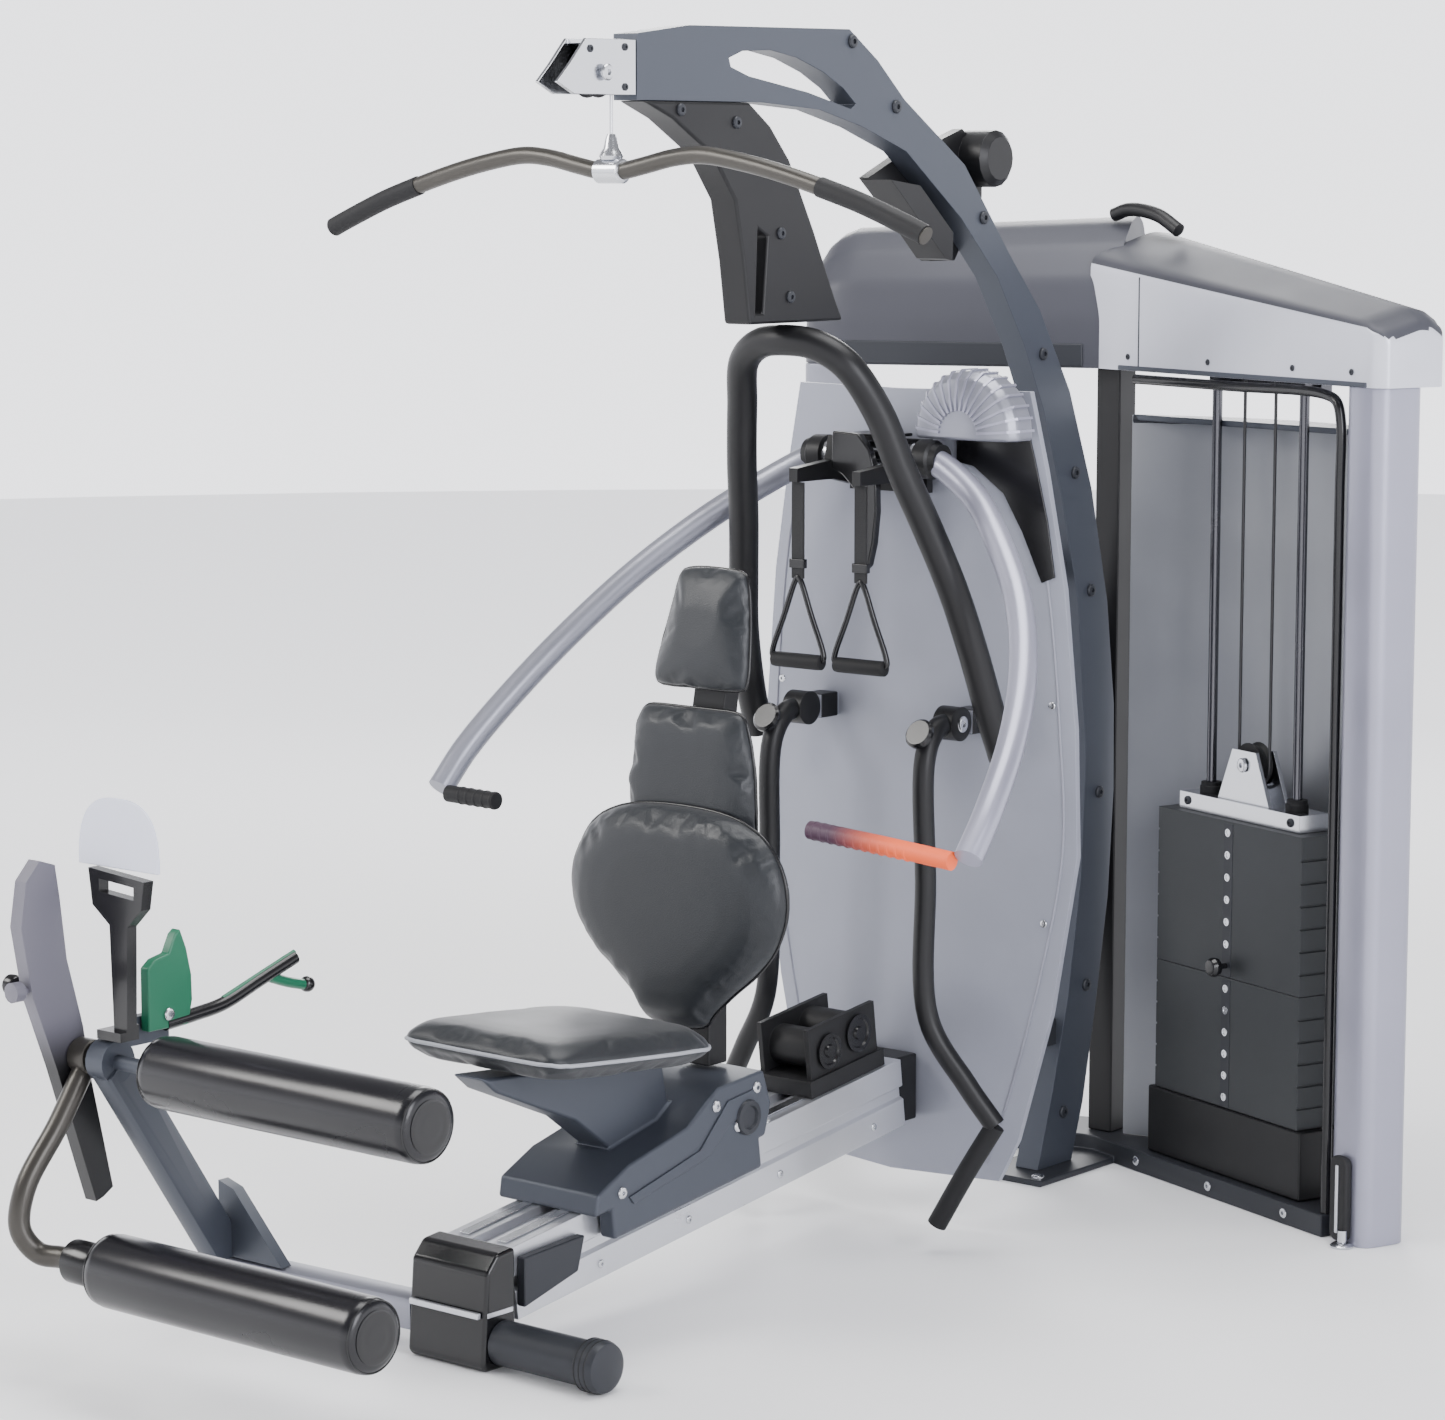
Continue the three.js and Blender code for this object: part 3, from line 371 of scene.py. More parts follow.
def smooth_path(points, per_span=10):
    """Centripetal Catmull-Rom through the points."""
    pts = [Vector(p) for p in points]
    pts = [2 * pts[0] - pts[1], *pts, 2 * pts[-1] - pts[-2]]
    made = []
    for p0, p1, p2, p3 in zip(pts, pts[1:], pts[2:], pts[3:]):
        t1 = math.sqrt((p1 - p0).length)
        t2 = t1 + math.sqrt((p2 - p1).length)
        t3 = t2 + math.sqrt((p3 - p2).length)
        for i in range(per_span):
            t = t1 + (t2 - t1) * i / per_span
            a1 = p0.lerp(p1, t / t1)
            a2 = p1.lerp(p2, (t - t1) / (t2 - t1))
            a3 = p2.lerp(p3, (t - t2) / (t3 - t2))
            b1 = a1.lerp(a2, t / t2)
            b2 = a2.lerp(a3, (t - t1) / (t3 - t1))
            made.append(b1.lerp(b2, (t - t1) / (t2 - t1)))
    made.append(pts[-2])
    return made


def tube_mesh(path, radius, sides=20, closed=False):
    """Verts and faces of a tube along path; the ends of an open one are rounded."""
    count = len(path)
    rings = []
    level = None
    for i, p in enumerate(path):
        before = path[i - 1] if i or closed else path[0]
        after = path[(i + 1) % count] if i < count - 1 or closed else path[-1]
        along = (Vector(after) - Vector(before)).normalized()
        if level is None:
            up = Vector((0, 0, 1)) if abs(along.z) < 0.9 else Vector((0, 1, 0))
            level = along.cross(up).normalized()
        level = (level - along * level.dot(along)).normalized()
        rings.append((Vector(p), along, level.copy(), radius))
    if not closed:
        rings = round_off(rings, False) + rings + round_off(rings, True)
    verts = []
    for p, along, across, r in rings:
        other = along.cross(across)
        for k in range(sides):
            a = 2 * math.pi * k / sides
            verts.append(p + across * (r * math.cos(a)) + other * (r * math.sin(a)))
    return verts, skin(len(rings), sides, closed)


def round_off(rings, at_end):
    """Extra rings that round a tube's end; they reach 0.3 mm past it."""
    p, along, across, r = rings[-1] if at_end else rings[0]
    soft = min(0.004, r * 0.5)
    extra = []
    for i in (1, 2, 3):
        a = math.radians(30 * i)
        step = 0.0001 * i
        inset = soft * (1 - math.cos(a))
        extra.append((p + along * (step if at_end else -step), along, across, r - inset))
    return extra if at_end else extra[::-1]


def tube(name, points, radius, material, body, slot, stands_for=(), curve=True, per_span=10,
         sides=20, closed=False):
    path = smooth_path(points, per_span) if curve else [Vector(p) for p in points]
    verts, faces = tube_mesh(path, radius, sides, closed)
    return piece(name, verts, faces, material, body, slot, stands_for)


def lathe(name, profile, place, axis, material, body, slot, stands_for=(), sides=48):
    """Turned piece: profile is (distance along axis, radius) pairs from place."""
    along, across, other = axes_about(axis)
    verts = []
    for step, r in profile:
        for k in range(sides):
            a = 2 * math.pi * k / sides
            verts.append(Vector(place) + along * step + across * (r * math.cos(a))
                         + other * (r * math.sin(a)))
    faces = skin(len(profile), sides)
    return piece(name, verts, faces, material, body, slot, stands_for, smooth=32)


def block(name, low, high, material, body, slot, bevel=0.002, place=None):
    """A box between two corners; place maps its corners into the part frame."""
    move = place or (lambda x, y, z: Vector((x, y, z)))
    corners = itertools.product(*zip(low, high))
    faces = [(0, 1, 3, 2), (4, 6, 7, 5), (0, 4, 5, 1), (2, 3, 7, 6), (0, 2, 6, 4), (1, 5, 7, 3)]
    return piece(name, [move(*c) for c in corners], faces, material, body, slot, bevel=bevel)


def plate(name, outline, thick, material, body, slot, place, stands_for=(), bevel=0.002):
    """A flat plate: place(u, v, w) maps outline (u, v) and depth w into the part frame."""
    count = len(outline)
    verts = [place(u, v, 0) for u, v in outline] + [place(u, v, thick) for u, v in outline]
    faces = [tuple(range(count)), tuple(range(2 * count - 1, count - 1, -1))]
    for i in range(count):
        j = (i + 1) % count
        faces.append((i, j, count + j, count + i))
    return piece(name, verts, faces, material, body, slot, stands_for, bevel=bevel)


def screws(name, places, axis, radius, material, body, slot, height=0.004):
    """Button-head screws with a hexagonal socket, all in one piece."""
    along, across, other = axes_about(axis)
    sides = 24
    # Share of the height, share of the radius, and whether the ring is a hexagon.
    rings = [(0, 1.0, 0), (0.55, 1.0, 0), (0.9, 0.86, 0), (1.0, 0.68, 0), (1.0, 0.42, 1), (0.35, 0.40, 1)]
    verts, faces = [], []
    for centre in places:
        base = len(verts)
        for up, share, hexagon in rings:
            for k in range(sides):
                a = 2 * math.pi * k / sides
                within = math.cos(math.radians(30)) / math.cos((a % (math.pi / 3)) - math.pi / 6)
                r = radius * share * (within if hexagon else 1)
                verts.append(Vector(centre) + along * (up * height) + across * (r * math.cos(a))
                             + other * (r * math.sin(a)))
        faces += [tuple(base + k for k in face) for face in skin(len(rings), sides)]
    return piece(name, verts, faces, material, body, slot, smooth=30)


# ---------- Local frames ----------
def right_wing(x, y, z):
    c, s = math.cos(SWEEP), math.sin(SWEEP)
    return Vector((x * c + y * s, WING_ROOT - x * s + y * c, z))


def left_wing(x, y, z):
    c, s = math.cos(SWEEP), math.sin(SWEEP)
    return Vector((-x * c - y * s, WING_ROOT - x * s + y * c, z))


def bolts_on_front(name, places, radius, material, body, slot, height=0.004):
    """Screws on the right wing, facing out of its front."""
    out = right_wing(0, -1, 0) - right_wing(0, 0, 0)
    return screws(name, [right_wing(*p) for p in places], out, radius, material, body, slot, height)


def on_rail(x, y, z):
    """x across, y along the rail from its front end, z above its centre line."""
    c, s = math.cos(RAIL_SLOPE), math.sin(RAIL_SLOPE)
    return RAIL_ORIGIN + Vector((x, y * c - z * s, y * s + z * c))


def on_shroud(x, z, lift):
    """A point on the shroud's front face, lifted off it by lift."""
    return Vector((x, NOSE + abs(x) * SHROUD_FALL - lift, z))


# ---------- Hoods ----------
HOOD_DEPTH = 0.240
HOOD_ROUND = 0.016  # how far from a corner its rounding starts
LOW_HOOD = [(-0.080, 1.485), (-0.080, 1.680), (-0.066, 1.694), (0.060, 1.735), (0.108, 1.730),
            (0.160, 1.690), (0.160, 1.485)]
DOMED_HOOD = [(-0.080, 1.485), (-0.080, 1.580), (-0.066, 1.650), (-0.020, 1.712), (0.040, 1.752),
              (0.090, 1.765), (0.130, 1.750), (0.160, 1.700), (0.160, 1.485)]


def hood_section(corners):
    """The section of a hood in (y, z) with its corners rounded."""
    rounded = [corners[0]]
    for before, corner, after in zip(corners, corners[1:], corners[2:]):
        b, c, a = Vector(before), Vector(corner), Vector(after)
        start = c.lerp(b, min(0.45, HOOD_ROUND / (b - c).length))
        stop = c.lerp(a, min(0.45, HOOD_ROUND / (a - c).length))
        for i in range(5):
            t = i / 4
            rounded.append(tuple(start.lerp(c, t).lerp(c.lerp(stop, t), t)))
    rounded.append(corners[-1])
    return rounded


def make_hood(name, node, wing, corners, outer, end_top, end_back, low_end, roof):
    """A shell along a wing: it tapers to end_top and end_back, and its last low_end metres round over."""
    section = hood_section(corners)
    straight = outer - low_end
    rings = [(straight * (i / 20), (i / 20) * straight / outer, 0.0) for i in range(21)]
    for turn in (18, 36, 54, 70, 82):
        a = math.radians(turn)
        rings.append((straight + low_end * math.sin(a), 1.0, 1 - math.cos(a)))
    verts = []
    for x, t, shrink in rings:
        top_share = 1 + (end_top - 1) * t
        back_share = 1 + (end_back - 1) * t
        depth = HOOD_DEPTH * back_share
        for y, z in section:
            rise = (z - HOOD_BOTTOM) * top_share
            back = (y - WING_FRONT) * back_share
            back += (depth / 2 - back) * shrink * low_end * 8
            rise *= 1 - shrink * low_end * 6.5
            verts.append(wing(x, WING_FRONT + back, HOOD_BOTTOM + rise))
    faces = skin(len(rings), len(section))
    # The side faces take the pale paint, which is partly painted highlight.
    obj = piece(name, verts, faces, PALE_AND_HIGHLIGHT, "frame", "shell", (node,), smooth=50)
    obj.data.materials.append(roof)
    limit = HOOD_BOTTOM + 0.001
    for face in obj.data.polygons:
        upward = face.normal.z > 0.28 and face.center.z > limit
        face.material_index = 1 if upward or roof is DOME else 0


def make_hoods():
    make_hood("hood_right_shell", "hood_right", right_wing, LOW_HOOD, 0.837, 0.50, 0.62, 0.040, ROOF)
    make_hood("hood_left_shell", "hood_left", left_wing, DOMED_HOOD, 0.618, 0.90, 0.80, 0.085, DOME)
    block("hood_left_band", (0.06, WING_FRONT - 0.003, 1.487), (0.575, WING_FRONT + 0.02, 1.530),
          DARK, "frame", "slate", 0.003, left_wing)
    block("hood_seam", (0.150, WING_FRONT - 0.0006, 1.49), (0.1535, WING_FRONT + 0.01, 1.655),
          DARK, "frame", "slate", 0.0004, right_wing)
    block("hood_under_rim_right", (0.09, WING_FRONT - 0.002, 1.4852), (0.80, WING_FRONT + 0.03, 1.494),
          SLATE, "frame", "slate", 0.002, right_wing)
    grip = [(-0.045, 0.175, 1.765), (-0.010, 0.172, 1.775), (0.060, 0.160, 1.766), (0.115, 0.150, 1.738)]
    tube("hood_handle", grip, 0.013, BLACK, "frame", "black_frame")
    places = [(x, WING_FRONT - 0.0005, 1.510) for x in (0.12, 0.36, 0.60, 0.76)]
    bolts_on_front("hood_screws", places, 0.0055, DARK, "frame", "slate", 0.002)


# ---------- Tower ----------
def make_tower():
    dress("arch_frame", SLATE, 0.0035, 3)
    dress("base_frame", DARK, 0.003)
    dress("mast", BLACK, 0.003)
    dress("mast_bracket", BLACK, 0.004)
    # Both columns have the same paint: the right one takes the lighter lilac copy as painted light, and the
    # left one the darker silver as painted shade.
    dress("column_right", LILAC, 0.002)
    dress("column_left", SILVER, 0.002)
    dress("foot_cover_right", MATTE, 0.006, 3)
    dress("shroud_bracket", DARK, 0.002)
    dress("stack_shield", SHIELD, 0.001)
    dress("head_housing", STEEL, 0.0015)
    dress("head_pulley", MATTE, 0.001)
    dress("boom", BLACK, 0.006, 3)
    dress("shroud_panel", SHELL, 0.003)
    dress("press_cowl", SILVER, 0.006, 3)
    dress("press_bracket", BLACK, 0.004)
    make_tower_fittings()


def make_tower_fittings():
    arch_places = [(-0.712, 2.062), (-0.590, 1.955), (-0.335, 1.765), (-0.150, 1.520), (-0.045, 1.300),
                   (0.010, 1.080), (0.045, 0.700), (0.010, 0.340), (-0.060, 0.110)]
    for side, word in reversed(SIDES):
        screws("arch_bolts_" + word, [(side * 0.025, y, z) for y, z in arch_places], (side, 0, 0), 0.0115,
               DARK, "frame", "dark_frame", 0.006)
    feet = [(x, y, 0.012) for x in (-0.055, 0.055) for y in (-0.180, 0.200)]
    screws("foot_bolts", feet, (0, 0, 1), 0.012, STEEL, "frame", "steel", 0.006)
    lathe("leveller_right", [(0, 0.019), (0.004, 0.021), (0.009, 0.014), (0.010, 0.008), (0.030, 0.008)],
          right_wing(0.792, -0.088, 0.0), (0, 0, 1), STEEL, "frame", "steel")
    block("foot_cover_slit", (0.772, -0.0905, 0.022), (0.779, -0.086, 0.142), ALUMINIUM, "frame",
          "steel", 0.0015, right_wing)
    places = [(x, -0.080, 0.021) for x in (0.18, 0.40, 0.62)]
    bolts_on_front("beam_screws", places, 0.009, STEEL, "frame", "steel")


def make_stack_cable():
    """A loop under the lifting pulley, and two straight falls above it."""
    turn = [math.pi + math.pi * i / 16 for i in range(17)]
    loop = [right_wing(STACK_X + PULLEY_REACH * math.cos(a), 0, PULLEY_HEIGHT + PULLEY_REACH * math.sin(a))
            for a in turn]
    tube("stack_cable_loop", loop, 0.003, CABLE, "stack", "cable", ("stack_cable",), curve=False, sides=12)
    for side, word in SIDES:
        heights = [PULLEY_HEIGHT + 0.6865 * i / 24 for i in range(25)]
        fall = [right_wing(STACK_X + side * PULLEY_REACH, 0, z) for z in heights]
        run = tube(f"stack_cable_{word}", fall, 0.003, CABLE, None, "cable", ("stack_cable",),
                   curve=False, sides=12)
        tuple(fall[-1])
        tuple(fall[0])
        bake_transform(run)


def make_stack_bay():
    for node in ("plates_resting", "plates_selected"):
        dress(node, PLATES, 0.0012)
    dress("stack_pedestal", BLACK, 0.004)
    dress("guide_rods", ROD_STEEL, 0.001)
    dress("stack_head", STEEL, 0.002)
    dress("stack_pulley", MATTE, 0.001)
    dress("selector_pin", GLOSS, 0.0015)
    make_shield_lid()
    points = [(0.120, 1.469), (0.400, 1.469), (0.670, 1.467), (0.700, 1.456), (0.712, 1.425), (0.713, 1.30),
              (0.713, 0.70), (0.713, 0.0405)]
    tube("inner_frame_bar", [right_wing(x, -0.062, z) for x, z in points], 0.009, GLOSS, "frame",
         "black_frame", ("inner_frame_tube",), per_span=12)
    make_pin_holes("resting", "frame", 0.1655, 0.405, 6)
    make_pin_holes("selected", "stack", 0.4055, 0.690, 7)
    make_lifting_fittings()


def make_shield_lid():
    """Lens-shaped lid of the shield and the rim under it."""
    arc = []
    for i in range(25):
        u = 2 * i / 24 - 1
        arc.append((0.060 + 0.315 * (u + 1), -0.023 + 0.0435 * (u + 1) + 0.096 * (1 - u * u)))
    plate("shield_lid", arc, 0.011, SLATE, "frame", "slate",
          lambda u, v, w: right_wing(u, v, 1.4005 - w), bevel=0.003)
    tube("shield_rim", [right_wing(x, y + 0.003, 1.392) for x, y in arc], 0.0085, DARK, "frame",
         "slate", per_span=2, sides=12)


def make_pin_holes(word, body, low, high, count):
    """A strip down the front of a block of plates, with a rim round each free pin hole."""
    block("stack_strip_" + word, (STACK_X - 0.013, STACK_FRONT - 0.0008, low + 0.002),
          (STACK_X + 0.013, STACK_FRONT + 0.004, high - 0.004), DARK, body, "weight_plates",
          0.0003, right_wing)
    pitch = (high - low) / count
    middle = [low + pitch * (i + 0.5) for i in range(count)]
    free = [z for z in middle if abs(z - PIN_HEIGHT) > 0.008]
    out = right_wing(0, -1, 0) - right_wing(0, 0, 0)
    rim = [(0, 0.0075), (0.0016, 0.0072), (0.0016, 0.0048), (0.0004, 0.0046)]
    for i, z in enumerate(free):
        lathe(f"pin_hole_{word}_{i}", rim, right_wing(STACK_X, STACK_FRONT - 0.0008, z), out, STEEL,
              body, "steel", sides=20)


def make_lifting_fittings():
    collar = [(0, 0.0205), (0.012, 0.0205), (0.014, 0.0185), (0.020, 0.0185)]
    for side, word in SIDES:
        lathe("rod_collar_" + word, collar, right_wing(STACK_X + side * 0.125, 0, 0.7225), (0, 0, 1),
              RUBBER, "stack", "black_plastic")
        bolts_on_front("head_screw_" + word, [(STACK_X + side * 0.150, -0.034, 0.707)], 0.008, DARK,
                       "stack", "steel")
    bolts_on_front("stack_axle_nut", [(STACK_X, -0.026, PULLEY_HEIGHT)], 0.013, STEEL, "stack_wheel",
                   "steel", 0.005)


# ---------- Lat pulldown, boom and fork ----------
def make_lat():
    half = [(0.0, 1.846), (0.028, 1.848), (0.070, 1.856), (0.130, 1.868), (0.185, 1.872), (0.260, 1.862),
            (0.360, 1.840), (0.500, 1.799), (0.600, 1.761), (0.620, 1.752)]
    points = [(-x, LAT_Y, z) for x, z in half[:0:-1]] + [(x, LAT_Y, z) for x, z in half]
    tube("lat_bar_tube", points, 0.0140, BRONZE, "lat", "bronze_bar", ("lat_bar",), sides=24)
    for side, word in SIDES:
        grip = [(side * x, LAT_Y, z) for x, z in
                ((0.420, 1.8235), (0.500, 1.799), (0.600, 1.761), (0.618, 1.7535))]
        tube("lat_grip_" + word, grip, 0.0158, RUBBER, "lat", "black_rubber", sides=24)
    lathe("lat_hook", [(0.0, 0.004), (0.002, 0.017), (0.008, 0.0195), (0.014, 0.0165), (0.020, 0.0125),
                       (0.036, 0.0090), (0.042, 0.0062)],
          (0, LAT_Y, 1.863), (0, 0, 1), STEEL, "lat", "steel", ("lat_swivel",))
    lathe("lat_clamp", [(-0.026, 0.0155), (-0.024, 0.0195), (0.024, 0.0195), (0.026, 0.0155)],
          (0, LAT_Y, 1.847), (1, 0, 0), STEEL, "lat", "steel")
    heights = [1.994 - 0.0885 * i / 24 for i in range(25)]
    run = tube("lat_cable_run", [(0, LAT_Y, z) for z in heights], 0.0028, PALE_CABLE, None, "cable",
               ("lat_cable",), curve=False, sides=14)
    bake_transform(run)
    for side, word in SIDES:
        screws("head_bolt_" + word, [(side * 0.030, -1.340, 2.0)], (side, 0, 0), 0.013, STEEL,
               "frame", "steel", 0.005)
        places = [(side * 0.024, y, z) for y, z in ((-1.290, 2.040), (-1.290, 1.978), (-1.372, 2.036))]
        screws("head_plate_screws_" + word, places, (side, 0, 0), 0.006, DARK, "frame", "steel", 0.003)


def make_fork():
    half = [(0.0, -0.856, 1.567), (0.060, -0.850, 1.560), (0.110, -0.832, 1.528), (0.146, -0.793, 1.450),
            (0.173, -0.761, 1.350), (0.200, -0.723, 1.250), (0.227, -0.690, 1.150), (0.248, -0.663, 1.050),
            (0.262, -0.625, 0.930), (0.267, -0.596, 0.860)]
    points = [(-x, y, z) for x, y, z in half[:0:-1]] + half
    tube("fork_tube", points, 0.026, BLACK, "frame", "black_frame", ("fork",), sides=28)
    for side, word in SIDES:
        places = [(side * 0.028, y, z) for y, z in
                  ((-0.880, 1.640), (-0.905, 1.745), (-1.02, 1.925), (-1.16, 1.944))]
        screws("boom_bolts_" + word, places, (side, 0, 0), 0.010, DARK, "frame", "dark_frame", 0.005)


# ---------- Shroud and press ----------
def make_shroud_details():
    inset = [(0.118, 1.462), (0.236, 1.462), (0.262, 1.360), (0.286, 1.255), (0.300, 1.160), (0.276, 1.150),
             (0.240, 1.235), (0.205, 1.300), (0.150, 1.345), (0.118, 1.352)]
    plate("shroud_inset", inset, 0.004, GLOSS, "frame", "black_plastic",
          lambda u, v, w: on_shroud(u, v, 0.0005 + w), bevel=0.001)
    for side, word in SIDES:
        line = [(side * x, z) for x, z in ((0.183, 0.125), (0.226, 0.260), (0.282, 0.480), (0.318, 0.690),
                                           (0.310, 0.900), (0.288, 1.130), (0.258, 1.300))]
        tube("shroud_crease_" + word, [on_shroud(x, z, 0.0004) for x, z in line], 0.0022, SILVER, "frame",
             "shell", sides=8)
        places = [on_shroud(side * x, z, 0.0004) for x, z in
                  ((0.190, 0.160), (0.285, 0.560), (0.296, 0.940))]
        screws("shroud_screws_" + word, places, (0, -1, 0), 0.007, STEEL, "frame", "steel", 0.003)
    make_cowl_ribs()


def make_cowl_ribs():
    """Thin ribs that fan out over the cowl above the press hub."""
    profile = [(0.1075, 0.0), (0.1075, 0.042), (0.095, 0.0585), (0.060, 0.0690), (0.040, 0.0705),
               (0.040, 0.0660), (0.058, 0.064), (0.092, 0.054), (0.1035, 0.040), (0.1035, 0.0)]
    n = len(profile)
    centre = Vector((0.178, -0.544, 1.405))
    verts, faces = [], []
    for i in range(16):
        a = math.radians(4 + 172 * i / 15)
        out = Vector((math.cos(a), 0, math.sin(a)))
        side = Vector((-math.sin(a), 0, math.cos(a))) * 0.0022
        base = len(verts)
        for offset in (-1, 1):
            for r, forward in profile:
                lift = 1.022 if r > 0.1036 else 1.0
                verts.append(centre + out * (r * lift) + side * offset + Vector((0, -forward * 1.02, 0)))
        faces.append(tuple(base + k for k in range(n)))
        faces.append(tuple(base + n + k for k in range(n)))
        for k in range(n):
            m = (k + 1) % n
            faces.append((base + k, base + m, base + n + m, base + n + k))
    piece("cowl_ribs", verts, faces, LILAC, "frame", "silver", smooth=25)


def make_press():
    points = [(0.121, *PRESS_AXIS), (0.160, -0.614, 1.343), (0.230, -0.634, 1.303), (0.308, -0.682, 1.246),
              (0.410, -0.758, 1.150), (0.483, -0.845, 1.050), (0.532, -0.942, 0.950), (0.561, -1.045, 0.850),
              (0.567, -1.105, 0.785)]
    collar = [(0.0, 0.030), (0.002, 0.0335), (0.030, 0.0335), (0.034, 0.0290), (0.046, 0.0270)]
    for side, word in SIDES:
        path = [(side * x, y, z) for x, y, z in points]
        # Both press arms have the same paint: the left one takes the darker silver as painted shade, and the
        # right one the lighter lilac as painted light.
        tube(f"press_arm_{word}_tube", path, 0.0232, SILVER if side < 0 else LILAC, "press", "silver",
             (f"press_arm_{word}",), sides=28)
        lathe(f"press_collar_{word}", collar, (side * 0.098, *PRESS_AXIS), (side, 0.0, -0.02), BLACK,
              "press", "black_frame")
        screws(f"press_hub_bolt_{word}", [(side * 0.110, *PRESS_AXIS)], (side, 0, 0), 0.012, STEEL,
               "press", "steel")
    dress("press_hub", STEEL, 0.002)
    make_press_grips()
    block("press_pivot_cover", (-0.050, -0.640, 1.395), (0.050, -0.570, 1.400), BLACK, "frame",
          "black_frame", 0.001)


def make_press_grips():
    left = [(-0.541, -1.112, 0.779), (-0.483, -1.112, 0.778), (-0.428, -1.112, 0.777)]
    right = [(0.541, -1.112, 0.779), (0.400, -1.112, 0.790), (0.258, -1.112, 0.799)]
    tube("press_grip_left_foam", left, 0.0148, RUBBER, "press", "black_rubber",
         ("press_grip_left",), sides=24)
    tube("press_grip_right_foam", right, 0.0150, ORANGE, "press", "orange_grip",
         ("press_grip_right",), sides=24)
    rib = [(-0.003, 0.0145), (-0.0015, 0.0158), (0.0015, 0.0158), (0.003, 0.0145)]
    for word, points, material, rib_slot, ribs in (("left", left, RUBBER, "black_rubber", 5),
                                                   ("right", right, ORANGE, "orange_grip", 12)):
        a, b = Vector(points[0]), Vector(points[-1])
        for i in range(ribs):
            at = a.lerp(b, 0.30 + 0.66 * i / (ribs - 1))
            lathe(f"grip_rib_{word}_{i}", rib, at, b - a, material, "press", rib_slot, sides=28)


def make_straps():
    half = [(0.050, 1.014), (0.056, 1.019), (0.055, 1.030), (0.030, 1.090), (0.006, 1.150)]
    grip = [(-0.054, 0.009), (-0.052, 0.0125), (-0.046, 0.0132), (0.046, 0.0132), (0.052, 0.0125),
            (0.054, 0.009)]
    for side, word in SIDES:
        x = side * STRAP_X
        y = STRAP_Y
        body = "strap_" + word
        web = [(x - 0.013, 1.154), (x + 0.013, 1.154), (x + 0.013, 1.3195), (x - 0.013, 1.3195)]
        plate(f"strap_web_{word}", web, 0.005, WEBBING, body, "black_rubber",
              lambda u, v, w: Vector((u, y - 0.0025 + w, v)), (f"strap_handle_{word}",), bevel=0.0012)
        stirrup = [(x - u, y, z) for u, z in half] + [(x, y, 1.157)] + [(x + u, y, z) for u, z in half[::-1]]
        tube(f"strap_stirrup_{word}", stirrup, 0.0052, GLOSS, body, "black_rubber", per_span=6, sides=14)
        lathe(f"strap_grip_{word}", grip, (x, y, 1.012), (1, 0, 0), RUBBER, body, "black_rubber")
        block(f"strap_keeper_{word}", (x - 0.016, y - 0.0055, 1.172), (x + 0.016, y + 0.0055, 1.188),
              GLOSS, body, "black_rubber", 0.0015)


def make_strap_hook():
    """Curved black arm that hangs from the press bracket between the two straps."""
    outline = [(-0.050, 1.405), (0.006, 1.402), (0.030, 1.375), (0.044, 1.330), (0.046, 1.270),
               (0.040, 1.215), (0.030, 1.176), (0.018, 1.166), (0.010, 1.178), (0.012, 1.225),
               (0.010, 1.270), (-0.002, 1.306), (-0.028, 1.330), (-0.052, 1.342)]
    plate("strap_hook", outline, 0.018, GLOSS, "frame", "black_frame",
          lambda u, v, w: Vector((u, -0.668 + w, v)), bevel=0.004)


def make_row_arms():
    points = [(ROW_X, *ROW_AXIS), (ROW_X, -0.650, 0.905), (0.167, -0.684, 0.860), (0.171, -0.686, 0.650),
              (0.179, -0.686, 0.410), (0.245, -0.664, 0.300), (0.292, -0.645, 0.232), (0.250, -0.668, 0.150),
              (0.200, -0.686, 0.052)]
    boss = [(-0.022, 0.024), (-0.020, 0.0295), (0.020, 0.0295), (0.022, 0.024)]
    cap = [(0, 0.0235), (0.004, 0.0265), (0.010, 0.0265), (0.014, 0.022)]
    for side, word in SIDES:
        body = "row_" + word
        middle = side * ROW_X
        upper = [(side * x, y, z) for x, y, z in points[:7]]
        lower = [(side * x, y, z) for x, y, z in points[6:]]
        tube(f"row_arm_{word}_tube", upper, 0.0185, BLACK, body, "black_frame",
             (f"row_arm_{word}",), sides=24)
        tube(f"row_foot_{word}", lower, 0.0172, RUBBER, body, "black_frame", sides=24)
        lathe(f"row_boss_{word}", boss, (middle, *ROW_AXIS), (1, 0, 0), BLACK, body, "black_frame")
        screws(f"row_boss_bolts_{word}", [(side * 0.187, *ROW_AXIS)], (side, 0, 0), 0.014, STEEL,
               body, "steel")
        block(f"row_stud_{word}", (middle - 0.0215, -0.5745, 0.8885), (middle + 0.0215, -0.527, 0.9315),
              BLACK, "frame", "black_frame", 0.003)
        lathe(f"row_elbow_cap_{word}", cap, (side * 0.1665, -0.6935, 0.898), (0, -0.86, 0.5), GLOSS,
              body, "black_plastic")


